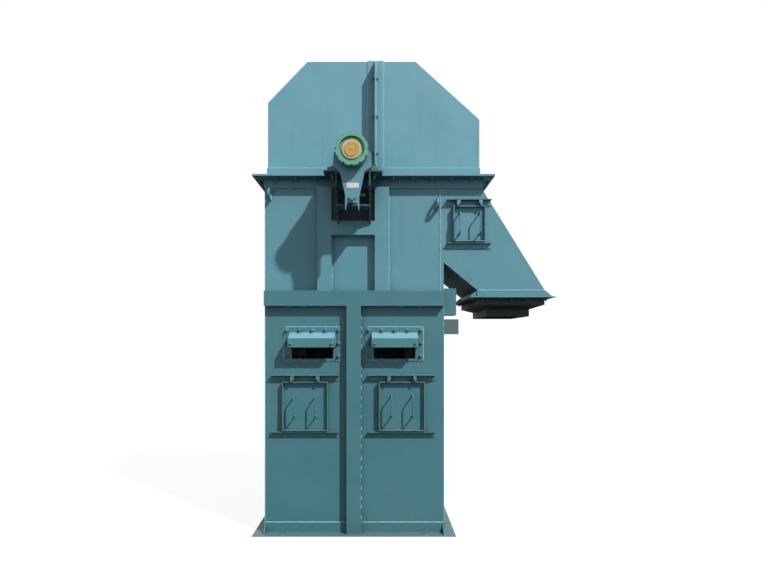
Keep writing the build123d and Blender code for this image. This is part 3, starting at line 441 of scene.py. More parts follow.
@dataclass(frozen=True)
class MetalFinish:
    """Bare, zinc-plated or blackened metal, and rubber when it isn't metallic."""

    name: str
    dark: Colour
    light: Colour
    roughness: float = 0.35
    metallic: float = 1.0
    scale: float = 60.0
    stretch: Point = (1.0, 1.0, 1.0)
    depth: float = 0.0004
    rust: float = 0.0
    rust_colour: Colour = (0.19, 0.075, 0.025)
    rust_noise: tuple[float, float] = (11.0, 5.0)
    rust_low: tuple[float, float] = (0.62, 0.3)
    rust_high: tuple[float, float] = (0.78, 0.2)
    rust_strength: float = 1.4
    rust_dulling: float = 0.35
    tones: tuple[float, float] = (0.3, 0.7)
    uneven: float = 0.18
    edge_radius: float = 0.0015
    edge_spread: float = 0.004
    bump: float = 0.8

    def build(self, effects: Effects) -> bpy.types.Material:
        """Make the material.

        Args:
            effects: The shared shader groups.

        Returns:
            The finished material.
        """
        material, sketch, shader = new_material(self.name)
        inputs = {"Scale": self.scale, "Stretch": self.stretch, "Depth": self.depth}
        grain = sketch.add("Group", inputs, node_tree=effects.grain)
        low, high = (base - share * self.rust for base, share in (self.rust_low, self.rust_high))
        blotch = sketch.ramp(sketch.noise(*self.rust_noise), low, high)
        rusty = sketch.math("MULTIPLY", blotch, min(1.0, self.rust * self.rust_strength), True)
        lightness = sketch.ramp(grain.outputs["Value"], *self.tones)
        tone = sketch.mix(lightness, colour4(self.dark), colour4(self.light))
        colour = sketch.mix(rusty, tone, colour4(self.rust_colour))
        rough = sketch.math("MULTIPLY_ADD", grain.outputs["Value"], self.uneven)
        rough.node.inputs[2].default_value = self.roughness - self.uneven / 2
        inputs = {"Radius": self.edge_radius, "Spread": self.edge_spread}
        edges = sketch.add("Group", inputs, node_tree=effects.edges)
        inputs = {"Height": grain.outputs["Height"], "Distance": 1.0, "Strength": self.bump}
        bump = sketch.add("Bump", {**inputs, "Normal": edges.outputs["Normal"]})
        rusted = sketch.math("MULTIPLY", rusty, self.rust_dulling)
        links = material.node_tree.links
        links.new(colour, shader.inputs["Base Color"])
        links.new(sketch.math("ADD", rough, rusted, True), shader.inputs["Roughness"])
        links.new(bump.outputs[0], shader.inputs["Normal"])
        if self.metallic and self.rust:
            kept = sketch.math("SUBTRACT", self.metallic, sketch.math("MULTIPLY", rusty, self.metallic))
            links.new(kept, shader.inputs["Metallic"])
        else:
            shader.inputs["Metallic"].default_value = self.metallic
        return material


def new_material(name: str) -> tuple:
    """Start a node material with one Principled shader.

    Args:
        name: The material's name.

    Returns:
        The material, a sketch of its tree and the shader node.
    """
    material = bpy.data.materials.new(name)
    material.use_nodes = True
    material.node_tree.nodes.clear()
    sketch = NodeSketch(material.node_tree)
    shader = sketch.add("BsdfPrincipled")
    sketch.add("OutputMaterial", {"Surface": shader.outputs[0]})
    return material, sketch, shader


def angles(sides: int, turn: float = 0.0) -> list[float]:
    """Give the angles of a ring's corners, in radians."""
    return [turn + 2 * math.pi * index / sides for index in range(sides)]


class MeshMaker:
    """Collects closed shapes, in metres, into the mesh of one piece."""

    # A fastener's washer, head, rim and shank, as shares of its width across the flats.
    WASHER = 0.12
    HEAD = 0.62
    RIM = 0.98
    SHANK = 0.31
    SHANK_TIP = 0.25
    # The length of one ripple of a weld bead, and the corners round the bead.
    RIPPLE = 0.009
    BEAD_SIDES = 6

    def __init__(self, name: str) -> None:
        """Start an empty piece.

        Args:
            name: The piece's name.
        """
        self.name = name
        self.points: list[Vector] = []
        self.faces: list[tuple[int, ...]] = []

    def skin(self, rings: list[list[Vector]]) -> None:
        """Join rings of equal length into a closed skin with both ends capped.

        Args:
            rings: Points of each ring, in order along the shape.
        """
        start, count = len(self.points), len(rings[0])
        for ring in rings:
            self.points.extend(ring)
        for level in range(len(rings) - 1):
            low = start + level * count
            for index in range(count):
                after = (index + 1) % count
                self.faces.append((low + index, low + after, low + after + count, low + index + count))
        last = start + (len(rings) - 1) * count
        self.faces.append(tuple(reversed(range(start, start + count))))
        self.faces.append(tuple(range(last, last + count)))

    def loop(self, rings: list[list[Vector]]) -> None:
        """Join rings of equal length into a hollow shape whose last ring meets its first.

        Args:
            rings: Points of each ring, in order round the shape's section.
        """
        start, count = len(self.points), len(rings[0])
        for level, ring in enumerate(rings):
            self.points.extend(ring)
            low, high = start + count * level, start + count * ((level + 1) % len(rings))
            for index in range(count):
                after = (index + 1) % count
                self.faces.append((low + index, low + after, high + after, high + index))

    def turned(
        self, at: Point, axis: Point, profile: list | tuple, sides: int, turn: float = 0.0
    ) -> None:
        """Add a turned or many-sided shape.

        Args:
            at: The middle of its foot.
            axis: The direction it grows in.
            profile: Distance along the axis and radius, ring by ring.
            sides: Corners of each ring.
            turn: Turn of the first corner, in radians.
        """
        spin = Vector(axis).to_track_quat("Z", "Y")
        rings = []
        for along, radius in profile:
            corners = [(math.cos(angle), math.sin(angle)) for angle in angles(sides, turn)]
            ring = [Vector((radius * a, radius * b, along)) for a, b in corners]
            rings.append([Vector(at) + spin @ point for point in ring])
        self.skin(rings)

    def bolt(self, at: Point, face: Face, width: float, turn: float) -> None:
        """Add a hexagon bolt head on a washer.

        Args:
            at: The point on the plate.
            face: The way the head looks.
            width: Across the flats.
            turn: Turn of the head, in radians.
        """
        washer, height, corner = width * self.WASHER, width * self.HEAD, width / math.sqrt(3)
        rim = width * self.RIM
        low = [(-SUNK, rim), (washer * 0.6, rim), (washer, rim - washer * 0.4)]
        self.turned(at, face.value, low, 20)
        top = washer + height
        head = [(washer * 0.5, corner), (top - height * 0.16, corner), (top, corner * 0.84)]
        self.turned(at, face.value, head, 6, turn)

    def nut(self, at: Point, face: Face, width: float, turn: float) -> None:
        """Add a nut on a washer with the bolt's end standing out of it.

        Args:
            at: The point on the plate.
            face: The way the nut looks.
            width: Across the flats.
            turn: Turn of the nut, in radians.
        """
        self.bolt(at, face, width, turn)
        thick, tip = width * self.SHANK, width * self.SHANK_TIP
        end = [(width * 0.4, thick), (width * 1.02, thick), (width * 1.1, tip)]
        self.turned(at, face.value, end, 12)

    def through(self, at: Point, face: Face, grip: float, width: float, turn: float) -> None:
        """Add a bolt head on one side of a joint and its nut on the other.

        Args:
            at: The point on the head's side.
            face: The way the head looks.
            grip: Thickness of the joint.
            width: Across the flats.
            turn: Turn of head and nut, in radians.
        """
        opposite = {Face.FRONT: Face.REAR, Face.LEFT: Face.RIGHT, Face.UP: Face.DOWN}
        opposite.update({value: key for key, value in opposite.items()})
        self.bolt(at, face, width, turn)
        self.nut(tuple(Vector(at) - Vector(face.value) * grip), opposite[face], width, turn + 0.3)

    def flush(self, at: Point, grip: float, width: float, turn: float) -> None:
        """Add an upright bolt with a low round head on top of a joint and its nut below.

        Args:
            at: The point on the upper side.
            grip: Thickness of the joint.
            width: Across the flats of the nut.
            turn: Turn of the nut, in radians.
        """
        heights, shares = (-SUNK, 0.0015, 0.0035, 0.0045), (0.56, 0.56, 0.46, 0.3)
        head = [(height, width * share) for height, share in zip(heights, shares)]
        self.turned(at, Face.UP.value, head, 18)
        self.nut(tuple(Vector(at) - Vector((0.0, 0.0, grip))), Face.DOWN, width, turn)

    def rod(self, path: list[Vector], radius: float, sides: int = 14) -> None:
        """Add a round bar along a path.

        Args:
            path: The points of its middle line.
            radius: Its radius.
            sides: Corners round it.
        """
        rings = []
        side = Vector((1.0, 0.0, 0.0))
        for index, point in enumerate(path):
            before, after = path[max(index - 1, 0)], path[min(index + 1, len(path) - 1)]
            along = (after - before).normalized()
            side = (side - along * side.dot(along)).normalized()
            other = along.cross(side)
            ways = [side * math.cos(angle) + other * math.sin(angle) for angle in angles(sides)]
            rings.append([point + way * radius for way in ways])
        self.skin(rings)

    def bead(self, start: Point, end: Point, radius: float, seed: float = 0.0) -> None:
        """Add a rippled weld bead along a straight corner.

        Args:
            start: Where the bead starts.
            end: Where it ends.
            radius: Its mean radius.
            seed: Shifts its unevenness, so that no two beads look the same.
        """
        first, last = Vector(start), Vector(end)
        along = (last - first).normalized()
        side = along.orthogonal().normalized()
        other = along.cross(side)
        steps = max(3, round((last - first).length / self.RIPPLE))
        rings = []
        for index in range(steps + 1):
            wave = math.sin(index * 2.4 + seed) * 0.16 + math.sin(index * 0.61 + 1.7 * seed) * 0.12
            size = radius * (0.9 + wave) * (0.45 if index in (0, steps) else 1.0)
            centre = first.lerp(last, index / steps)
            corners = angles(self.BEAD_SIDES)
            ways = [side * math.cos(angle) + other * math.sin(angle) for angle in corners]
            rings.append([centre + way * size for way in ways])
        self.skin(rings)

    def stitches(
        self, start: Point, end: Point, length: float, pitch: float, radius: float = GUSSET_BEAD
    ) -> None:
        """Add a row of short weld beads.

        Args:
            start: Where the row starts.
            end: Where it ends.
            length: Length of one bead.
            pitch: Distance from one bead's start to the next one's.
            radius: Radius of the beads.
        """
        first, last = Vector(start), Vector(end)
        way = last - first
        along = way.normalized()
        for index in range(int(way.length / pitch)):
            low = first + along * (index * pitch + 0.12 * pitch * math.sin(index * 1.9))
            self.bead(tuple(low), tuple(low + along * length), radius, index * 0.83)

    def plate(self, low: Point, high: Point, chamfer: float) -> None:
        """Add a flat plate with a small chamfer round its front face.

        Args:
            low: Its lowest corner.
            high: Its highest corner; the front is at low Y.
            chamfer: Width of the chamfer.
        """
        corners = [(low[0], low[2]), (high[0], low[2]), (high[0], high[2]), (low[0], high[2])]
        middle = ((low[0] + high[0]) / 2, (low[2] + high[2]) / 2)

        def ring(depth: float, trim: float) -> list[Vector]:
            """Give one ring of the plate, trimmed towards its middle.

            Args:
                depth: The ring's Y.
                trim: How far its corners move inwards.

            Returns:
                The ring's corners.
            """
            moved = []
            for x, z in corners:
                step = (math.copysign(trim, middle[0] - x), math.copysign(trim, middle[1] - z))
                moved.append(Vector((x + step[0], depth, z + step[1])))
            return moved

        self.skin([ring(high[1], 0.0), ring(low[1] + chamfer, 0.0), ring(low[1], chamfer)])

    def prism(self, axis: int, outline: list[tuple[float, float]], low: float, high: float) -> None:
        """Add a flat outline made solid along one axis.

        Args:
            axis: 0, 1 or 2 for X, Y or Z.
            outline: Its corners, as the two other coordinates in order.
            low: Where the solid starts along the axis.
            high: Where it ends.
        """
        rings = []
        for level in (low, high):
            ring = [list(corner) for corner in outline]
            for corner in ring:
                corner.insert(axis, level)
            rings.append([Vector(corner) for corner in ring])
        self.skin(rings)

    def block(self, x: tuple[float, float], y: tuple[float, float], z: tuple[float, float]) -> None:
        """Add a box between the low and high value along each axis."""
        self.prism(2, [(x[0], y[0]), (x[1], y[0]), (x[1], y[1]), (x[0], y[1])], *z)

    def sleeve(self, centre: tuple[float, float], levels: list[Point], wall: float) -> None:
        """Add an open rectangular sleeve whose size changes with height.

        Args:
            centre: X and Y of its middle.
            levels: Half width, half depth and Z of each level, from the top.
            wall: Thickness of its wall, inwards.
        """
        inside = [(half - wall, deep - wall, z) for half, deep, z in reversed(levels)]
        signs = ((-1, -1), (1, -1), (1, 1), (-1, 1))
        rings = []
        for half, deep, z in levels + inside:
            corners = [(centre[0] + a * half, centre[1] + b * deep, z) for a, b in signs]
            rings.append([Vector(corner) for corner in corners])
        self.loop(rings)

    def make(self, smooth_angle: float = 35.0) -> bpy.types.Object:
        """Make the piece's object.

        Args:
            smooth_angle: Corners sharper than this many degrees stay sharp.

        Returns:
            The new object, in the scene.
        """
        mesh = bpy.data.meshes.new(self.name)
        mesh.from_pydata([tuple(point) for point in self.points], [], self.faces)
        sketch = bmesh.new()
        sketch.from_mesh(mesh)
        bmesh.ops.recalc_face_normals(sketch, faces=sketch.faces)
        for edge in sketch.edges:
            edge.smooth = edge.is_manifold and edge.calc_face_angle() < math.radians(smooth_angle)
        for face in sketch.faces:
            face.smooth = True
        sketch.to_mesh(mesh)
        sketch.free()
        piece = bpy.data.objects.new(self.name, mesh)
        bpy.context.scene.collection.objects.link(piece)
        return piece


def rounded_path(corners: list[Point], radius: float, steps: int = 7) -> list[Vector]:
    """Round the corners of a path of straight runs.

    Args:
        corners: The path's corner points.
        radius: How far before a corner the bend starts.
        steps: Points in each bend.

    Returns:
        The points of the rounded path.
    """
    line = [Vector(corner) for corner in corners]
    path = [line[0]]
    for before, corner, after in zip(line, line[1:], line[2:]):
        first = corner + (before - corner).normalized() * radius
        last = corner + (after - corner).normalized() * radius
        for step in range(steps + 1):
            share = step / steps
            path.append(first.lerp(corner, share).lerp(corner.lerp(last, share), share))
    path.append(line[-1])
    return path


class Finish(Enum):
    """Every finish on the machine, with the record's slot that it belongs to."""

    LOWER = "teal_lower"
    UPPER = "teal_upper"
    HEAD = "teal_head"
    SHAFT = "steel_shaft"
    CASTING = "cast_housing"
    BACKSTOP = "backstop_green"
    RING = "ring_yellow"
    CAP = "cap_orange"
    BOX = "box_grey"
    BELT = "belt_rubber"
    BUCKET = "bucket_steel"


class Trim(Enum):
    """Looks of pieces that differ from the plates they belong to."""

    BOLTS = "painted_bolts"
    WELD_HIGHLIGHT = "welds_painted_highlight"
    ZINC = "zinc_plate"
    DULL_ZINC = "dull_zinc"
    SPOUT_SHADE = "spout_painted_shade"
    PAINTED_SHADE = "bracket_painted_shade"
    SUNLIT = "sunlit_hoods"
    LABEL = "bare_label"


LOOKS = {
    Finish.LOWER: PaintFinish("paint_lower", (0.05, 0.183, 0.22), (0.085, 0.215, 0.25)),
    Finish.UPPER: PaintFinish("paint_upper", (0.09, 0.268, 0.333), (0.14, 0.318, 0.378)),
    Finish.HEAD: PaintFinish(
        "paint_head", (0.12, 0.325, 0.41), (0.185, 0.385, 0.465), roughness=0.42
    ),
    Finish.CASTING: PaintFinish(
        "paint_casting", (0.07, 0.19, 0.21), (0.11, 0.23, 0.25), grain=0.0009
    ),
    Finish.BACKSTOP: PaintFinish(
        "enamel_green", (0.1, 0.35, 0.26), (0.17, 0.43, 0.33), roughness=0.36, grain=0.0004
    ),
    Finish.RING: PaintFinish(
        "enamel_yellow", (0.56, 0.5, 0.17), (0.62, 0.57, 0.28), roughness=0.36
    ),
    Finish.CAP: PaintFinish(
        "enamel_orange", (0.56, 0.27, 0.09), (0.5, 0.36, 0.1), Wear.WORN, roughness=0.4
    ),
    Finish.BOX: PaintFinish(
        "enamel_grey", (0.08, 0.135, 0.14), (0.11, 0.165, 0.165), roughness=0.4
    ),
    Finish.SHAFT: MetalFinish(
        "turned_steel",
        (0.38, 0.38, 0.39),
        (0.56, 0.56, 0.57),
        roughness=0.3,
        scale=34.0,
        stretch=(1, 18, 1),
    ),
    Finish.BUCKET: MetalFinish(
        "pressed_steel", (0.035, 0.045, 0.047), (0.07, 0.08, 0.08), roughness=0.6, rust=0.2
    ),
    Finish.BELT: MetalFinish(
        "belt_rubber",
        (0.016, 0.016, 0.016),
        (0.04, 0.04, 0.04),
        roughness=0.72,
        metallic=0.0,
        scale=95.0,
        depth=0.0012,
    ),
    Trim.BOLTS: PaintFinish(
        "painted_bolts", (0.05, 0.16, 0.18), (0.09, 0.2, 0.22), Wear.WORN, 0.5, rust=(0.2, 0.08, 0.03)
    ),
    # Welds are lighter than the plates: a painted highlight along the weld lines.
    Trim.WELD_HIGHLIGHT: PaintFinish(
        "welds_painted_highlight", (0.26, 0.5, 0.54), (0.34, 0.56, 0.59), Wear.FRESH, 0.4, grain=0.001
    ),
    Trim.ZINC: MetalFinish("zinc_plate", (0.5, 0.5, 0.48), (0.66, 0.66, 0.64), 0.34, rust=0.25),
    Trim.DULL_ZINC: MetalFinish("dull_zinc", (0.2, 0.22, 0.22), (0.32, 0.34, 0.33), 0.5, rust=0.1),
    # Near-black spout and outlet bolts: painted shade under the outlet flange.
    Trim.SPOUT_SHADE: PaintFinish(
        "spout_painted_shade", (0.008, 0.018, 0.02), (0.02, 0.04, 0.042), Wear.WORN, 0.5
    ),
    # Near-black bracket plates: painted shade in the recess under the bearing shelf.
    Trim.PAINTED_SHADE: PaintFinish(
        "bracket_painted_shade", (0.018, 0.05, 0.058), (0.05, 0.12, 0.135), Wear.WORN, 0.45
    ),
    # Vent hoods: their upward faces are lightened as painted light from above.
    Trim.SUNLIT: PaintFinish(
        "sunlit_hoods", (0.056, 0.2, 0.24), (0.09, 0.235, 0.27), roughness=0.42, painted_top_light_share=0.95
    ),
    Trim.LABEL: PaintFinish(
        "bare_label", (0.68, 0.66, 0.64), (0.74, 0.73, 0.72), Wear.FRESH, 0.38
    ),
}


class Workshop:
    """Holds the frame and the looks, dresses nodes and hands over finished pieces."""

    def __init__(self, nodes: dict) -> None:
        """Build every look.

        Args:
            nodes: The frame's CAD objects by name.
        """
        self.nodes = nodes
        effects = Effects()
        self.materials = {key: look.build(effects) for key, look in LOOKS.items()}

    def dress(self, look: Finish | Trim, *names: str) -> None:
        """Give CAD nodes their look.

        Args:
            look: The look they get.
            names: The nodes' names.
        """
        for name in names:
            mesh = self.nodes[name].data
            mesh.materials.clear()
            mesh.materials.append(self.materials[look])

    def hand_over(
        self, maker: MeshMaker, finish: Finish, look: Trim | None = None, body: str = CASING
    ) -> bpy.types.Object:
        """Make a piece, dress it and let it ride on its body.

        Args:
            maker: The mesh collected for the piece.
            finish: The finish whose slot the piece belongs to.
            look: What the piece is dressed in, when it differs from the finish.
            body: The CAD body that carries it.

        Returns:
            The finished piece.
        """
        piece = maker.make()
        piece.data.materials.append(self.materials[look or finish])
        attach(piece, body)
        return piece


def report(name: str, pieces: list) -> None:
    """Log a sub-assembly and its pieces.

    Args:
        name: The sub-assembly.
        pieces: The pieces it made in this script.
    """
    for piece in pieces:
        LOG.info("%s: %s, %d faces", name, piece.name, len(piece.data.polygons))
    if not pieces:
        LOG.info("%s: nodes dressed", name)


class Assembly:
    """What every sub-assembly does: dress its CAD nodes, then make its own pieces."""

    shop: Workshop

    def dressing(self) -> dict:
        """Give the names of the CAD nodes that each look covers."""
        return {}

    def pieces(self) -> list:
        """Make the pieces, in order."""
        return []

    def build(self, shop: Workshop) -> list:
        """Dress the nodes and make the pieces.

        Args:
            shop: The workshop.

        Returns:
            The pieces made.
        """
        self.shop = shop
        for look, names in self.dressing().items():
            shop.dress(look, *names)
        return self.pieces()


@dataclass
class LowerCasing(Assembly):
    """The lower half of the casing, with its foot, post and middle band."""

    half_width: float = 0.757
    front: float = 0.45
    top: float = 1.983
    foot_height: float = 0.09
    post_x: float = -0.004
    post_half: float = 0.06
    band_half: float = 0.0635
    clear: float = 0.02
    left_clear: float = 0.05
    right_stitch: tuple = (0.034, 0.085, 0.0065)
    left_stitch: tuple = (0.034, 0.13)
    band_stitch: tuple = (0.04, 0.16)
    anchor_x: float = 0.6
    anchor_out: float = 0.055
    foot_thickness: float = 0.008
    washer: tuple = (
        (0.0115, -0.0005), (0.022, -0.0005), (0.022, 0.0028), (0.0212, 0.0035), (0.0115, 0.0035)
    )
    washer_sides: int = 24

    def dressing(self) -> dict:
        """Give the names of the CAD nodes that each look covers."""
        walls = ("front_wall_left", "front_wall_right", "back_wall_lower", "side_walls_lower")
        return {Finish.LOWER: (*walls, "base_flange", "lower_posts", "mid_bands")}

    def pieces(self) -> list:
        """Make the welds and the anchor washers."""
        return [self.welds(), self.anchors()]

    def welds(self) -> bpy.types.Object:
        """Weld the foot, the post and the band to the walls.

        Returns:
            The weld piece.
        """
        maker = MeshMaker("lower_welds")
        foot, half = self.foot_height, self.half_width
        low_band, high_band = self.top - self.band_half, self.top + self.band_half
        left, right = self.post_x - self.post_half, self.post_x + self.post_half
        end = low_band - self.clear
        for side in (-1, 1):
            y = side * self.front
            maker.bead((-half, y, foot), (left, y, foot), PLATE_BEAD, 0.3)
            maker.bead((right, y, foot), (half, y, foot), PLATE_BEAD, 1.3)
            maker.stitches((right, y, foot + self.clear), (right, y, end), *self.right_stitch)
            maker.stitches((left, y, foot + self.left_clear), (left, y, end), *self.left_stitch)
            maker.bead((-half, y, high_band), (half, y, high_band), STRAP_BEAD, 2.1)
            maker.stitches((-half, y, low_band), (half, y, low_band), *self.band_stitch)
            for sign in (-1, 1):
                x = sign * half
                maker.bead((x, y, foot), (x, y, low_band), CORNER_BEAD, 0.7 * sign)
        for x in (-half, half):
            maker.bead((x, -self.front, foot), (x, self.front, foot), PLATE_BEAD, 0.9)
        return self.shop.hand_over(maker, Finish.LOWER, Trim.WELD_HIGHLIGHT)

    def anchors(self) -> bpy.types.Object:
        """Set the washers of the anchor holes, with the holes left open for the bolts.

        Returns:
            The washer piece.
        """
        maker = MeshMaker("anchor_washers")
        for side in (-1, 1):
            y = side * (self.front + self.anchor_out)
            for end in (-1, 1):
                at = Vector((end * self.anchor_x, y, self.foot_thickness))
                rings = []
                for radius, height in self.washer:
                    turns = [(math.cos(angle), math.sin(angle)) for angle in angles(self.washer_sides)]
                    rings.append([at + Vector((radius * a, radius * b, height)) for a, b in turns])
                maker.loop(rings)
        return self.shop.hand_over(maker, Finish.LOWER, Trim.ZINC)


@dataclass
class UpperCasing(Assembly):
    """The upper half of the casing, with its posts, rail and lifting lugs."""

    half_width: float = 0.757
    front: float = 0.45
    low: float = 2.0465
    flange_low: float = 2.915
    seam_x: float = 0.724
    post_places: tuple = (-0.25, 0.233)
    post_half: float = 0.06
    rail: tuple = (2.513, 2.631)
    lug_places: tuple = ((-0.713, 2.812), (0.7, 2.728))
    lug_height: float = 0.096
    lug_half: float = 0.008

    def dressing(self) -> dict:
        """Give the names of the CAD nodes that each look covers."""
        walls = ("front_wall_upper", "back_wall_upper", "left_wall_upper", "right_wall_upper")
        return {Finish.UPPER: (*walls, "upper_posts", "upper_rails", "lifting_lugs")}

    def pieces(self) -> list:
        """Make the welds."""
        return [self.welds()]

    def welds(self) -> bpy.types.Object:
        """Weld the wall's seam and corner, the posts, the rail and the lugs.

        Returns:
            The weld piece.
        """
        maker = MeshMaker("upper_welds")
        low, high, half = self.low, self.flange_low, self.post_half
        inner = (self.post_places[0] + half, self.post_places[1] - half)
        for side in (-1, 1):
            y = side * self.front
            maker.bead((self.seam_x, y, low), (self.seam_x, y, high), PLATE_BEAD, 0.4)
            maker.bead((-self.half_width, y, low), (-self.half_width, y, high), CORNER_BEAD, 1.9)
            for x in self.post_places:
                for edge in (-half, half):
                    maker.bead((x + edge, y, low), (x + edge, y, high), PLATE_BEAD, x * 9 + edge * 40)
            for z in self.rail:
                maker.bead((inner[0], y, z), (inner[1], y, z), STRAP_BEAD, z)
            for x, z in self.lug_places:
                for edge in (-self.lug_half, self.lug_half):
                    foot, top = (x + edge, y, z), (x + edge, y, z + self.lug_height)
                    maker.bead(foot, top, GUSSET_BEAD, x + edge * 99)
        return self.shop.hand_over(maker, Finish.UPPER, Trim.WELD_HIGHLIGHT)


@dataclass
class Vents(Assembly):
    """Two bolted vent plates with their folded hoods."""

    centres: tuple = (-0.355, 0.341)
    low: float = 1.458
    height: float = 0.285
    width: float = 0.484
    face: float = -0.456
    wall: float = -0.451
    hood_face: float = -0.562
    hood_half: float = 0.193
    hood_low: float = 1.572
    hood_top: float = 1.692
    row_z: float = 1.715
    row_count: int = 5
    bolt: float = 0.022
    bolt_inset: float = 0.022
    top_inset: float = 0.021
    side_falls: tuple = (0.115, 0.225)
    foot_rise: float = 0.009
    foot_share: float = 0.7
    pin_inset: float = 0.024
    pin_rise: float = 0.03
    pin_head: tuple = ((-SUNK, 0.011), (0.004, 0.011), (0.005, 0.0095))
    pin_stem: tuple = ((0.004, 0.0055), (0.02, 0.0055), (0.0225, 0.004))

    def dressing(self) -> dict:
        """Give the names of the CAD nodes that each look covers."""
        return {Finish.LOWER: ("vent_plates",), Trim.SUNLIT: ("vent_hoods",)}

    def pieces(self) -> list:
        """Make the bolts, the hoods' pins and the welds."""
        return [self.bolts(), self.pins(), self.welds()]

    def bolts(self) -> bpy.types.Object:
        """Bolt both plates: a row above the hood, two on each side and two small ones below.

        Returns:
            The bolt piece.
        """
        maker = MeshMaker("vent_bolts")
        half = self.width / 2 - self.bolt_inset
        top = self.low + self.height - self.top_inset
        for number, centre in enumerate(self.centres):
            columns = [centre - half + index * half / 2 for index in range(self.row_count)]
            for index, x in enumerate(columns):
                maker.nut((x, self.face, self.row_z), Face.FRONT, self.bolt, 0.3 * index + number)
            for x in (centre - half, centre + half):
                for level, fall in enumerate(self.side_falls):
                    at = (x, self.face, top - fall)
                    maker.nut(at, Face.FRONT, self.bolt, 0.5 * level + number)
            for x in (columns[1], columns[-2]):
                at = (x, self.face, self.low + self.foot_rise)
                maker.nut(at, Face.FRONT, self.bolt * self.foot_share, 0.7)
        return self.shop.hand_over(maker, Finish.LOWER, Trim.BOLTS)

    def pins(self) -> bpy.types.Object:
        """Set two pins low on the face of each hood.

        Returns:
            The pin piece.
        """
        maker = MeshMaker("vent_pins")
        for centre in self.centres:
            for side in (-1, 1):
                x = centre + side * (self.hood_half - self.pin_inset)
                at = (x, self.hood_face, self.hood_low + self.pin_rise)
                maker.turned(at, Face.FRONT.value, self.pin_head, 16)
                maker.turned(at, Face.FRONT.value, self.pin_stem, 12)
        return self.shop.hand_over(maker, Finish.LOWER, Trim.BOLTS)

    def welds(self) -> bpy.types.Object:
        """Weld the hoods to their plates and the plates to the wall.

        Returns:
            The weld piece.
        """
        maker = MeshMaker("vent_welds")
        face, wall, top = self.face, self.wall, self.low + self.height
        for centre in self.centres:
            for side in (-1, 1):
                x = centre + side * self.hood_half
                foot, head = (x, face, self.hood_low), (x, face, self.hood_top)
                maker.bead(foot, head, EDGE_BEAD, side + centre)
            left, right = centre - self.hood_half, centre + self.hood_half
            maker.bead((left, face, self.hood_top), (right, face, self.hood_top), STRAP_BEAD, centre)
            left, right = centre - self.width / 2, centre + self.width / 2
            for x in (left, right):
                maker.bead((x, wall, self.low), (x, wall, top), PLATE_BEAD, x * 3)
            for z in (self.low, top):
                maker.bead((left, wall, z), (right, wall, z), PLATE_BEAD, z + centre)
        return self.shop.hand_over(maker, Finish.LOWER, Trim.WELD_HIGHLIGHT)


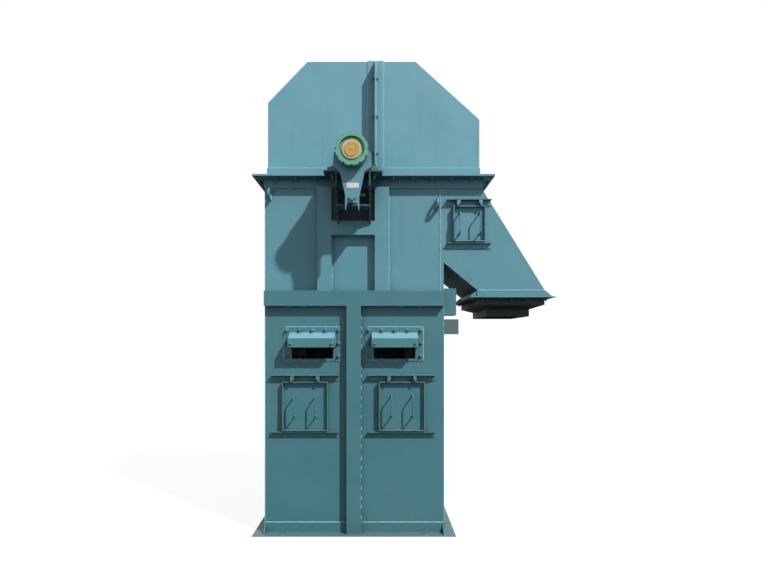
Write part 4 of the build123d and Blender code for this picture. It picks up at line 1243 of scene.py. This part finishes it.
@dataclass
class Door(Assembly):
    """One inspection door: pan, bow handles and ledges."""

    name: str
    finish: Finish
    pin_z: float
    spread: float
    rod: float = 0.006
    rod_in: float = 0.003
    bend: float = 0.02
    collar: tuple = ((-SUNK, 0.0115), (0.002, 0.0108), (0.0045, 0.0085), (0.0065, 0.0062))
    ledge_out: tuple = (0.042, 0.034)
    ledge_wall: float = 0.006
    ledge_stitch: tuple = (0.03, 0.09, 0.0035)
    low_leg: float = 0.05
    leg_below_pin: float = 0.025
    hinge_y: float = -0.492
    eye: tuple = (0.0083, 0.015)
    ear: float = 0.012
    pin: float = 0.007
    pin_sides: int = 20
    pin_over: float = 0.004

    def dressing(self) -> dict:
        """Give the names of the CAD nodes that each look covers."""
        return {self.finish: (f"{self.name}_leaf",)}

    def pieces(self) -> list:
        """Make the handles, the ledges and their welds."""
        return [self.handles(), self.handle_welds(), self.ledges(), self.ledge_welds()]

    def places(self) -> tuple:
        """Give the X of both handles and the lowest and highest corner of their box."""
        low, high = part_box(f"{self.name}_handles")
        return (low.x + self.rod, high.x - self.rod), low, high

    def handles(self) -> bpy.types.Object:
        """Bend the two handles from round bar.

        Returns:
            The piece, in place of the door's handles.
        """
        places, low, high = self.places()
        maker = MeshMaker(f"{self.name}_bow_handles")
        bottom, top = low.z + self.rod, high.z - self.rod
        out, foot = low.y + self.rod, high.y + self.rod_in
        for x in places:
            corners = [(x, foot, bottom), (x, out, bottom), (x, out, top), (x, foot, top)]
            maker.rod(rounded_path(corners, self.bend), self.rod)
        piece = self.shop.hand_over(maker, self.finish, body=self.name)
        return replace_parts(piece, f"{self.name}_handles")

    def ledges(self) -> bpy.types.Object:
        """Make the angle above the door, with its hinge ears and pins, and the angle below it.

        Returns:
            The piece, in place of the door's ledges.
        """
        low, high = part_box(f"{self.name}_ledges")
        maker = MeshMaker(f"{self.name}_angles")
        across, wall = (low.x, high.x), self.ledge_wall
        gap, round_half = self.eye
        upper_leg = high.z - self.pin_z + self.leg_below_pin
        for top, out, leg in (
            (high.z, self.ledge_out[0], upper_leg),
            (low.z + self.low_leg, self.ledge_out[1], self.low_leg),
        ):
            maker.block(across, (high.y - out, high.y), (top - wall, top))
            maker.block(across, (high.y - wall, high.y), (top - leg, top - wall))
        middle = (low.x + high.x) / 2
        deep = (self.hinge_y - round_half, self.hinge_y + round_half)
        for side in (1, -1):
            place = middle - side * self.spread / 2
            start = place + side * gap
            end = start + side * self.ear
            maker.block(tuple(sorted((start, end))), deep, (self.pin_z - round_half, high.z - wall))
            pin_ends = (end, place - side * (gap + self.pin_over))
            line = [Vector((x, self.hinge_y, self.pin_z)) for x in pin_ends]
            maker.rod(line, self.pin, self.pin_sides)
        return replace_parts(self.shop.hand_over(maker, self.finish), f"{self.name}_ledges")

    def handle_welds(self) -> bpy.types.Object:
        """Weld the four feet of the handles to the pan.

        Returns:
            The weld piece.
        """
        places, low, high = self.places()
        maker = MeshMaker(f"{self.name}_handle_welds")
        for x in places:
            for z in (low.z + self.rod, high.z - self.rod):
                maker.turned((x, high.y, z), Face.FRONT.value, self.collar, 14)
        return self.shop.hand_over(maker, self.finish, body=self.name)

    def ledge_welds(self) -> bpy.types.Object:
        """Weld both ledges to the wall.

        Returns:
            The weld piece.
        """
        low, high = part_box(f"{self.name}_ledges")
        maker = MeshMaker(f"{self.name}_ledge_welds")
        maker.bead((low.x, high.y, high.z), (high.x, high.y, high.z), EDGE_BEAD, low.x)
        maker.stitches((low.x, high.y, low.z), (high.x, high.y, low.z), *self.ledge_stitch)
        return self.shop.hand_over(maker, self.finish)


@dataclass
class Chute(Assembly):
    """The discharge chute, its outlet and the fittings beside it."""

    front: float = 0.45
    mouth: tuple = (1.045, 1.611)
    roof: tuple = ((1.083, 2.91), (1.611, 2.056))
    bed: tuple = ((0.757, 2.293), (1.045, 2.056))
    joint_z: float = 1.99
    flange: float = 0.008
    flange_out: float = 0.072
    leg: float = 0.062
    spout_out: float = 0.042
    spout_levels: tuple = (
        (0.283, 0.45, 1.99), (0.283, 0.45, 1.932), (0.188, 0.32, 1.898), (0.188, 0.32, 1.838)
    )
    wall: float = 0.006
    bead_inset: float = 0.0025
    bead_trim: float = 0.002
    corner_bead: float = 0.0032
    leg_bead: float = 0.0062
    leg_bead_share: float = 0.7
    bolt: float = 0.016
    bolt_reach: float = 0.026
    front_row: tuple = (5, 0.03)
    side_row: tuple = (7, 0.045)

    def dressing(self) -> dict:
        """Give the names of the CAD nodes that each look covers."""
        plates = ("chute_front", "chute_back", "chute_top", "chute_bottom")
        return {Finish.UPPER: plates, Finish.LOWER: ("side_bracket",), Finish.BOX: ("side_box",)}

    def pieces(self) -> list:
        """Make the outlet, the spout, the welds and the outlet's bolts."""
        return [self.outlet(), self.spout(), self.welds(), self.outlet_bolts()]

    def outlet(self) -> bpy.types.Object:
        """Make the angle round the mouth, with a gusset at each end of its short sides.

        Returns:
            The piece, in place of the outlet flange.
        """
        maker = MeshMaker("outlet_angle")
        left, right = self.mouth
        middle, half = (left + right) / 2, (right - left) / 2
        low, out, wall = self.joint_z, self.flange_out, self.flange
        top = low + self.leg
        for over, high in ((out, low + wall), (wall, top)):
            levels = [(half + over, self.front + over, z) for z in (high, low)]
            maker.sleeve((middle, 0.0), levels, over)
        for side in (-1, 1):
            deep = sorted((side * self.front, side * (self.front - wall)))
            for end, edge in ((-1, left), (1, right)):
                near, far = edge + end * wall, edge + end * out
                maker.prism(1, [(near, low + wall), (far, low + wall), (near, top)], *deep)
        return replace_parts(self.shop.hand_over(maker, Finish.UPPER), "outlet_flange")

    def spout(self) -> bpy.types.Object:
        """Make the spout: a tray with its own flange, a sloping floor and a narrower neck.

        Returns:
            The piece, in place of the outlet spout.
        """
        maker = MeshMaker("spout_tray_and_neck")
        left, right = self.mouth
        centre = ((left + right) / 2, 0.0)
        maker.sleeve(centre, list(self.spout_levels), self.wall)
        half, deep = (right - left) / 2 + self.spout_out, self.front + self.spout_out
        levels = [(half, deep, self.joint_z), (half, deep, self.joint_z - self.flange)]
        maker.sleeve(centre, levels, self.spout_out)
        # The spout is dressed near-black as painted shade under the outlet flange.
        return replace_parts(self.shop.hand_over(maker, Finish.LOWER, Trim.SPOUT_SHADE), "outlet_spout")

    def welds(self) -> bpy.types.Object:
        """Weld the chute's corners and its outlet flange.

        Returns:
            The weld piece.
        """
        maker = MeshMaker("chute_welds")
        for side in (-1, 1):
            y = side * (self.front - self.bead_inset)
            for number, (start, end) in enumerate((self.roof, self.bed)):
                run = Vector((end[0] - start[0], 0.0, end[1] - start[1]))
                step = run.normalized() * self.bead_trim
                low, high = Vector((start[0], y, start[1])) + step, Vector((end[0], y, end[1])) - step
                maker.bead(tuple(low), tuple(high), self.corner_bead, number + side)
        left, right = self.mouth
        z = self.joint_z + self.leg
        for side in (-1, 1):
            y = side * (self.front + self.flange * self.leg_bead_share)
            maker.bead((left, y, z), (right, y, z), self.leg_bead, side)
        return self.shop.hand_over(maker, Finish.UPPER, Trim.WELD_HIGHLIGHT)

    def outlet_bolts(self) -> bpy.types.Object:
        """Bolt the spout's flange to the outlet flange.

        Returns:
            The bolt piece.
        """
        maker = MeshMaker("outlet_bolts")
        left, right = self.mouth
        reach, grip = self.bolt_reach, 2 * self.flange
        z = self.joint_z + self.flange
        count, inset = self.front_row
        for index in range(count):
            x = left + inset + (right - left - 2 * inset) * index / (count - 1)
            for side in (-1, 1):
                maker.flush((x, side * (self.front + reach), z), grip, self.bolt, index * 0.4)
        count, inset = self.side_row
        for index in range(count):
            y = -self.front + inset + (2 * self.front - 2 * inset) * index / (count - 1)
            for x in (left - reach, right + reach):
                maker.flush((x, y, z), grip, self.bolt, index * 0.7)
        # The outlet bolts are dressed near-black as painted shade under the flange.
        return self.shop.hand_over(maker, Finish.UPPER, Trim.SPOUT_SHADE)


@dataclass
class Head(Assembly):
    """The two head flanges and the split hood."""

    left: float = -0.735
    right: float = 1.061
    left_slope: tuple = (0.335, 0.349)
    right_slope: tuple = (0.542, 0.49)
    hood_front: float = 0.428
    flange_x: tuple = (-0.847, 1.173)
    flange_y: float = 0.54
    joint: float = 3.005
    flange: float = 0.008
    leg: float = 0.09
    top: float = 4.0
    seam_x: float = 0.178
    seam_web: float = 0.006
    seam_out: float = 0.095
    seam_flat: float = 0.068
    seam_bolts: tuple = (3.2, 3.51, 3.83)
    seam_bolt_share: float = 0.6
    seam_fall: float = 0.056
    seam_clear: float = 0.07
    bead_inset: float = 0.002
    bead_drop: float = 0.001
    corner_bead: float = 0.003
    foot_bead: float = 0.005
    bolt: float = 0.024
    bolt_inset: float = 0.03
    front_count: int = 13
    side_count: int = 7
    bearing_half: float = 0.3

    def dressing(self) -> dict:
        """Give the names of the CAD nodes that each look covers.

        Returns:
            The names of the hood's and the flanges' nodes by look.
        """
        cheeks = ("hood_cheeks_left", "hood_cheeks_right")
        hood = (*cheeks, "hood_wrap_left", "hood_wrap_right", "head_flange_upper")
        return {Finish.HEAD: hood, Finish.UPPER: ("head_flange_lower",)}

    def pieces(self) -> list:
        """Make the flange bolts, the seam, its bolts and the welds."""
        return [self.flange_bolts(), self.seams(), self.seam_fasteners(), self.welds()]

    def seams(self) -> bpy.types.Object:
        """Make the tees down the hood's seam, front and rear, and the strap over its roof.

        Returns:
            The piece, in place of the hood's seams.
        """
        maker = MeshMaker("hood_seam_tees")
        low, top = self.joint + self.leg, self.top + self.seam_web
        flat = (self.seam_x - self.seam_flat, self.seam_x + self.seam_flat)
        thin = (self.seam_x - self.seam_web, self.seam_x + self.seam_web)
        for side in (-1, 1):
            wall, face = side * self.hood_front, side * (self.hood_front + self.seam_web)
            edge = side * (self.hood_front + self.seam_out)
            maker.block(flat, (min(wall, face), max(wall, face)), (low, top))
            maker.prism(0, [(face, low), (edge, low), (edge, top - self.seam_fall), (face, top)], *thin)
        maker.block(flat, (-self.hood_front, self.hood_front), (self.top, top))
        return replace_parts(self.shop.hand_over(maker, Finish.HEAD), "hood_seams")

    def flange_bolts(self) -> bpy.types.Object:
        """Bolt the two head flanges together all round, but for the bearings' places.

        Returns:
            The bolt piece.
        """
        maker = MeshMaker("head_flange_bolts")
        low, high = self.flange_x
        inset, half = self.bolt_inset, self.flange_y
        z, grip = self.joint + self.flange, 2 * self.flange
        for index in range(self.front_count):
            x = low + inset + (high - low - 2 * inset) * index / (self.front_count - 1)
            for side in (-1, 1):
                if abs(x) > self.bearing_half:
                    maker.flush((x, side * (half - inset), z), grip, self.bolt, index)
        for index in range(1, self.side_count):
            y = -half + inset + (2 * half - 2 * inset) * index / self.side_count
            for x in (low + inset, high - inset):
                maker.flush((x, y, z), grip, self.bolt, index * 1.3)
        return self.shop.hand_over(maker, Finish.HEAD, Trim.BOLTS)

    def seam_fasteners(self) -> bpy.types.Object:
        """Put bolts through the standing flange of the seam, front and rear.

        Returns:
            The bolt piece.
        """
        maker = MeshMaker("hood_seam_bolts")
        for side in (-1, 1):
            y = side * (self.hood_front + self.seam_out * self.seam_bolt_share)
            for index, z in enumerate(self.seam_bolts):
                at = (self.seam_x + self.seam_web, y, z)
                maker.through(at, Face.RIGHT, 2 * self.seam_web, self.bolt, index * 0.8)
        return self.shop.hand_over(maker, Finish.HEAD, Trim.BOLTS)

    def welds(self) -> bpy.types.Object:
        """Weld the hood's corners, its seam straps and its foot.

        Returns:
            The weld piece.
        """
        maker = MeshMaker("hood_welds")
        foot = self.joint + self.leg
        near = [
            (self.left, foot),
            (self.left, self.top - self.left_slope[1]),
            (self.left + self.left_slope[0], self.top),
            (self.seam_x - self.seam_clear, self.top),
        ]
        far = [
            (self.seam_x + self.seam_clear, self.top),
            (self.right - self.right_slope[0], self.top),
            (self.right, self.top - self.right_slope[1]),
            (self.right, foot),
        ]
        for side in (-1, 1):
            y = side * (self.hood_front - self.bead_inset)
            for line in (near, far):
                for number, ends in enumerate(zip(line, line[1:])):
                    start, end = [(x, y, z - self.bead_drop) for x, z in ends]
                    maker.bead(start, end, self.corner_bead, number + side)
            face = side * self.hood_front
            maker.bead((self.left, face, foot), (self.right, face, foot), self.foot_bead, side)
            for edge in (-self.seam_flat, self.seam_flat):
                x = self.seam_x + edge
                maker.bead((x, face, foot), (x, face, self.top), STRAP_BEAD, edge * 30 + side)
            root = side * (self.hood_front + self.seam_web)
            for edge in (-self.seam_web, self.seam_web):
                x = self.seam_x + edge
                maker.bead((x, root, foot), (x, root, self.top), self.foot_bead)
        return self.shop.hand_over(maker, Finish.HEAD, Trim.WELD_HIGHLIGHT)


@dataclass
class Bearings(Assembly):
    """The bearing brackets and the two pillow blocks."""

    shelf_top: float = 2.985
    shelf: float = 0.012
    shelf_half: float = 0.235
    shelf_y: tuple = (0.545, 0.728)
    wall_z: tuple = (2.636, 2.905)
    wall_plate: tuple = (0.17, 0.01)
    rail_clear: float = 0.51
    low: float = 2.6
    nose: float = 0.11
    plate: float = 0.012
    bar_top: float = 2.712
    bar_depth: float = 0.19
    tab: tuple = (0.04, 2.772)
    weld_low: float = 2.63
    weld_y: tuple = (0.535, 0.712)
    foot: float = 0.03
    foot_bolt: float = 0.036
    foot_line: tuple = ((-0.21, 0.0), (0.21, 0.0), (0.205, 0.03), (0.125, 0.034), (0.11, 0.06))
    block_y: float = 0.648
    block_half: float = 0.063
    block_radius: float = 0.106
    block_rise: float = 0.05
    block_bevel: float = 0.008
    bolt_x: float = 0.165
    front: float = 0.45
    gusset_x: float = 0.133
    shaft_z: float = 3.085
    cap_x: float = 0.127
    cap_ledge: float = 0.038
    cap_bolt: float = 0.03
    cap_over: float = 0.02
    cap_half: float = 0.034
    cap_gap: float = 0.0008
    nipple_foot: tuple = ((-0.004, 0.009), (0.012, 0.009))
    nipple: tuple = ((0.01, 0.004), (0.02, 0.004), (0.023, 0.0055), (0.027, 0.0045), (0.029, 0.002))

    def pieces(self) -> list:
        """Make the brackets, the housings, their bolts and the brackets' welds."""
        return [self.bracket(-1), self.bracket(1), self.blocks(), self.bolts(), self.welds()]

    def bolts(self) -> bpy.types.Object:
        """Bolt the housings' feet and caps down and put a grease nipple on each cap.

        Returns:
            The bolt piece.
        """
        maker = MeshMaker("bearing_bolts")
        for side in (-1, 1):
            y = side * self.block_y
            for end in (-1, 1):
                at = (end * self.bolt_x, y, self.shelf_top + self.foot)
                maker.through(at, Face.UP, self.foot + self.shelf, self.foot_bolt, end)
                at = (end * self.cap_x, y, self.shaft_z + self.cap_ledge)
                maker.through(at, Face.UP, 2 * self.cap_ledge, self.cap_bolt, end)
            crown = (0.0, y, self.shaft_z + self.block_radius)
            maker.turned(crown, Face.UP.value, self.nipple_foot, 6)
            maker.turned(crown, Face.UP.value, self.nipple, 12)
        return self.shop.hand_over(maker, Finish.CASTING, Trim.BOLTS)

    def welds(self) -> bpy.types.Object:
        """Weld both faces of each gusset to the wall and to the shelf.

        Returns:
            The weld piece.
        """
        maker = MeshMaker("bracket_welds")
        under, half = self.shelf_top - self.shelf, self.plate / 2
        for side in (-1, 1):
            wall = side * (self.front + self.wall_plate[1])
            inner, outer = side * self.weld_y[0], side * self.weld_y[1]
            for end in (-1, 1):
                for face in (-half, half):
                    x = end * self.gusset_x + face
                    foot, head = (x, wall, self.weld_low), (x, wall, self.wall_z[1])
                    maker.bead(foot, head, GUSSET_BEAD, x * 90 + side)
                    maker.bead((x, inner, under), (x, outer, under), GUSSET_BEAD, x * 70)
        return self.shop.hand_over(maker, Finish.UPPER)

    def bracket(self, side: int) -> bpy.types.Object:
        """Make one bracket: a shelf on two sloping gussets with a plate on the wall behind them.

        Args:
            side: -1 for the front one, which also has a bar and a tab for the arm's pin, 1 for
                the rear one.

        Returns:
            The piece, in place of that bracket.
        """
        name = "front" if side < 0 else "rear"
        maker = MeshMaker(f"{name}_bracket_plates")
        near, far = self.shelf_y
        under = self.shelf_top - self.shelf
        low, top = self.wall_z

        def depth(*values: float) -> tuple:
            """Give distances from the middle as Y values, the lowest first."""
            return tuple(sorted(side * value for value in values))

        maker.block((-self.shelf_half, self.shelf_half), depth(near, far), (under, self.shelf_top))
        line = [(self.front, top), (near, top), (near, under), (far, under), (far, under - self.nose)]
        line += [(self.rail_clear, self.low), (self.rail_clear, low), (self.front, low)]
        half = self.plate / 2
        for x in (-self.gusset_x, self.gusset_x):
            maker.prism(0, [(side * y, z) for y, z in line], x - half, x + half)
        wide, thick = self.wall_plate
        maker.block((-wide, wide), depth(self.front, self.front + thick), (low, top))
        if side < 0:
            bar = (self.bar_top - self.plate, self.bar_top)
            maker.block((-self.gusset_x, self.gusset_x), depth(far - self.bar_depth, far), bar)
            tab, tab_top = self.tab
            maker.block((-tab, tab), depth(far - self.plate, far), (self.bar_top, tab_top))
        # The bracket's plates are dressed near-black as painted shade under the shelf.
        piece = self.shop.hand_over(maker, Finish.UPPER, Trim.PAINTED_SHADE)
        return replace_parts(piece, f"{name}_bearing_bracket")

    def blocks(self) -> bpy.types.Object:
        """Make both split bearing housings on their shelves.

        Returns:
            The piece, in place of the pillow blocks.
        """
        maker = MeshMaker("split_bearing_housings")
        half, radius, bevel = self.block_half, self.block_radius, self.block_bevel
        rim = [(0.0, radius - bevel), (bevel, radius)]
        rim += [(2 * half - bevel, radius), (2 * half, radius - bevel)]
        foot = [*self.foot_line, *((-x, z) for x, z in self.foot_line[:1:-1])]
        ear = self.cap_x + self.cap_over
        for side in (-1, 1):
            y = side * self.block_y
            across = (y - half, y + half)
            maker.prism(1, [(x, self.shelf_top + z) for x, z in foot], *across)
            maker.block((-radius, radius), across, (self.shelf_top + self.block_rise, self.shaft_z))
            maker.turned((0.0, y + half, self.shaft_z), Face.FRONT.value, rim, 48)
            deep = (y - self.cap_half, y + self.cap_half)
            for sign in (-1, 1):
                level = sorted(self.shaft_z + sign * step for step in (self.cap_gap, self.cap_ledge))
                maker.block((-ear, ear), deep, tuple(level))
        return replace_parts(self.shop.hand_over(maker, Finish.CASTING), "pillow_blocks")


@dataclass
class Drive(Assembly):
    """The shaft, the backstop and its torque arm."""

    shaft_z: float = 3.085
    face: float = -0.93
    notches: int = 12
    notch_depth: float = 0.022
    bolt_circle: float = 0.122
    bolt_head: tuple = ((-SUNK, 0.0066), (0.0105, 0.0066), (0.0118, 0.0056))
    cap_front: float = -0.926
    boss: tuple = ((-SUNK, 0.013), (0.0012, 0.0125), (0.002, 0.0108))
    arm_front: float = -0.858
    arm_wall: float = 0.008
    arm_depth: float = 0.062
    arm_line: tuple = ((0.14, 3.085), (0.15, 2.97), (0.094, 2.932), (0.054, 2.754), (0.054, 2.64))
    fork_top: float = 2.694
    fork_bevel: tuple = (0.014, 0.02)
    pin_z: float = 2.735
    pin_face: float = -0.8743
    split_pin: tuple = (0.03, 0.003)
    split_out: float = 0.006
    split_eye: tuple = (0.034, 0.006, 0.0018)
    label: tuple = (-0.042, 0.052, 2.806, 2.845)
    label_y: tuple = (-0.0015, 0.001)
    label_chamfer: float = 0.0006
    rivet_inset: float = 0.007
    rivet_y: float = -0.0014
    rivet: tuple = ((-0.0002, 0.003), (0.0008, 0.0028), (0.0014, 0.0016))

    def dressing(self) -> dict:
        """Give the names of the CAD nodes that each look covers.

        Returns:
            The names of the drive's nodes by look.
        """
        return {
            Finish.SHAFT: ("head_shaft",),
            Finish.BACKSTOP: ("backstop_housing",),
            Finish.RING: ("backstop_ring",),
            Finish.CAP: ("shaft_end_cap",),
            Finish.UPPER: ("torque_pin",),
        }

    def pieces(self) -> list:
        """Make the arm, the cover bolts, the cap's boss, the split pin and the label."""
        made = [self.arm(), self.cover_bolts(), self.cap_boss(), self.pin_fittings()]
        return [*made, self.bare_label()]

    def arm(self) -> bpy.types.Object:
        """Make the channel that embraces the backstop, narrows downwards and ends in a fork.

        Returns:
            The piece, in place of the torque arm.
        """
        maker = MeshMaker("torque_arm_channel")
        wall, face = self.arm_wall, self.arm_front
        foot_x, foot_z = self.arm_line[-1]
        inner, (across, fall) = foot_x - wall, self.fork_bevel
        right = [*self.arm_line, (inner, foot_z), (inner, self.fork_top - fall)]
        right += [(inner - across, self.fork_top)]
        maker.prism(1, right + [(-x, z) for x, z in right[::-1]], face, face + wall)
        for side in (-1, 1):
            flange = [(side * x, z) for x, z in self.arm_line]
            flange += [(side * (x - wall), z) for x, z in self.arm_line[::-1]]
            maker.prism(1, flange, face + wall / 2, face + self.arm_depth)
        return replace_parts(self.shop.hand_over(maker, Finish.UPPER), "torque_arm")

    def cover_bolts(self) -> bpy.types.Object:
        """Seat a cover bolt in every notch of the rim.

        Returns:
            The bolt piece.
        """
        maker = MeshMaker("backstop_bolts")
        reach, y = self.bolt_circle, self.face + self.notch_depth
        for angle in angles(self.notches):
            at = (reach * math.sin(angle), y, self.shaft_z + reach * math.cos(angle))
            maker.turned(at, Face.FRONT.value, self.bolt_head, 16, angle)
        return self.shop.hand_over(maker, Finish.BACKSTOP, Trim.BOLTS)

    def cap_boss(self) -> bpy.types.Object:
        """Turn a low boss in the middle of the disc over the shaft end.

        Returns:
            The boss piece.
        """
        maker = MeshMaker("end_cap_rings")
        maker.turned((0.0, self.cap_front, self.shaft_z), Face.FRONT.value, self.boss, 40)
        return self.shop.hand_over(maker, Finish.CAP)

    def pin_fittings(self) -> bpy.types.Object:
        """Put a split pin through the end of the torque pin's head.

        Returns:
            The fitting piece.
        """
        maker = MeshMaker("torque_pin_split_pin")
        y = self.pin_face + self.split_out
        half, thick = self.split_pin
        maker.rod([Vector((x, y, self.pin_z)) for x in (-half, half)], thick, 10)
        middle, reach, thin = self.split_eye
        loop, steps = [], 12
        for index in range(steps + 1):
            angle = 2 * math.pi * index / steps
            x, z = middle + reach * math.cos(angle), self.pin_z + reach * math.sin(angle)
            loop.append(Vector((x, y, z)))
        maker.rod(loop, thin, 8)
        return self.shop.hand_over(maker, Finish.SHAFT, Trim.DULL_ZINC)

    def bare_label(self) -> bpy.types.Object:
        """Rivet a bare label plate to the arm.

        Returns:
            The label piece.
        """
        maker = MeshMaker("arm_label")
        left, right, low, high = self.label
        front, back = (self.arm_front + step for step in self.label_y)
        maker.plate((left, front, low), (right, back, high), self.label_chamfer)
        for x in (left + self.rivet_inset, right - self.rivet_inset):
            at = (x, self.arm_front + self.rivet_y, (low + high) / 2)
            maker.turned(at, Face.FRONT.value, self.rivet, 12)
        return self.shop.hand_over(maker, Finish.UPPER, Trim.LABEL)


@dataclass
class BucketLine(Assembly):
    """What runs inside: pulley, belt and buckets."""

    pulley: str = "head_pulley"
    belt: str = "bucket_belt"
    buckets: str = "buckets"

    def dressing(self) -> dict:
        """Give the names of the CAD nodes that each look covers."""
        looks = {Finish.SHAFT: (self.pulley,), Finish.BELT: (self.belt,)}
        return looks | {Finish.BUCKET: (self.buckets,)}


@dataclass
class Studio:
    """Floor, light and camera."""

    camera_at: Point = (0.2, -4.95, 1.65)
    sensor: float = 36.0
    lens: float = 24.9
    shift: tuple = (0.0078, 0.0651)
    sun_at: Point = (6.0, -6.0, 9.0)
    sun_travel: Point = (-1.15, 1.0, -1.6)
    sun_strength: float = 4.35
    sun_size: float = 1.6
    sun_colour: Colour = (1.0, 0.98, 0.94)
    fill: float = 0.52
    fill_colour: Colour = (0.86, 0.93, 1.0)
    floor_size: float = 60.0
    floor_drop: float = 0.001
    floor_bounce: Colour = (0.05, 0.05, 0.048)
    floor_tones: tuple = ((0.12, 0.12, 0.12), (0.13, 0.13, 0.13))
    floor_glow: float = 0.87
    floor_roughness: float = 0.9

    def build(self) -> None:
        """Set up everything round the machine."""
        self.floor()
        self.world()
        self.sun()
        self.camera()
        bpy.context.scene.view_settings.view_transform = "Standard"

    def floor(self) -> None:
        """Lay a white floor that keeps a faint shadow and throws little light back."""
        half = self.floor_size / 2
        mesh = bpy.data.meshes.new("floor")
        corners = [(-half, -half), (half, -half), (half, half), (-half, half)]
        mesh.from_pydata([(x, y, -self.floor_drop) for x, y in corners], [], [(0, 1, 2, 3)])
        floor = bpy.data.objects.new("floor", mesh)
        bpy.context.scene.collection.objects.link(floor)
        material, sketch, shader = new_material("white_floor")
        links = material.node_tree.links
        low, high = (colour4(tone) for tone in self.floor_tones)
        pale = sketch.mix(sketch.pattern(FLOOR_TONES), low, high)
        seen = sketch.add("LightPath").outputs["Is Camera Ray"]
        links.new(sketch.mix(seen, colour4(self.floor_bounce), pale), shader.inputs["Base Color"])
        shader.inputs["Emission Color"].default_value = WHITE
        links.new(sketch.math("MULTIPLY", seen, self.floor_glow), shader.inputs["Emission Strength"])
        shader.inputs["Roughness"].default_value = self.floor_roughness
        mesh.materials.append(material)

    def world(self) -> None:
        """Light the surroundings softly and show them white."""
        world = bpy.data.worlds.new("surroundings")
        world.use_nodes = True
        world.node_tree.nodes.clear()
        sketch = NodeSketch(world.node_tree)
        rays = sketch.add("LightPath").outputs
        seen = sketch.math("MAXIMUM", rays["Is Camera Ray"], rays["Is Transmission Ray"])
        seen = sketch.math("MAXIMUM", seen, rays["Is Glossy Ray"])
        strength = sketch.math("ADD", sketch.math("MULTIPLY", seen, 1.0 - self.fill), self.fill)
        colour = sketch.mix(seen, colour4(self.fill_colour), WHITE)
        light = sketch.add("Background", {"Color": colour, "Strength": strength})
        sketch.add("OutputWorld", {"Surface": light.outputs[0]})
        bpy.context.scene.world = world

    def sun(self) -> None:
        """Hang one soft key light at the upper right, in front."""
        lamp = bpy.data.lights.new("key", "SUN")
        lamp.energy = self.sun_strength
        lamp.angle = math.radians(self.sun_size)
        lamp.color = self.sun_colour
        key = bpy.data.objects.new("key", lamp)
        key.rotation_euler = Vector(self.sun_travel).to_track_quat("-Z", "Y").to_euler()
        key.location = self.sun_at
        bpy.context.scene.collection.objects.link(key)

    def camera(self) -> None:
        """Stand the camera where the photograph was taken."""
        lens = bpy.data.cameras.new("camera")
        lens.sensor_width = self.sensor
        lens.lens = self.lens
        lens.shift_x, lens.shift_y = self.shift
        view = bpy.data.objects.new("camera", lens)
        view.location = self.camera_at
        view.rotation_euler = (math.radians(90), 0.0, 0.0)
        bpy.context.scene.collection.objects.link(view)
        bpy.context.scene.camera = view


def main() -> None:
    """Build the machine's sub-assemblies in order, then its surroundings."""
    logging.basicConfig(level=logging.INFO, format="%(name)s %(message)s")
    shop = Workshop(frame["nodes"])
    parts = {
        "lower casing": LowerCasing(),
        "upper casing": UpperCasing(),
        "vents": Vents(),
        "left door": Door("left_door", Finish.LOWER, pin_z=1.312, spread=0.228),
        "right door": Door("right_door", Finish.LOWER, pin_z=1.312, spread=0.228),
        "chute door": Door("chute_door", Finish.UPPER, pin_z=2.792, spread=0.196),
        "chute": Chute(),
        "head": Head(),
        "bearings": Bearings(),
        "drive": Drive(),
        "bucket line": BucketLine(),
    }
    for name, part in parts.items():
        report(name, part.build(shop))
    Studio().build()


if __name__ == "__main__":
    main()
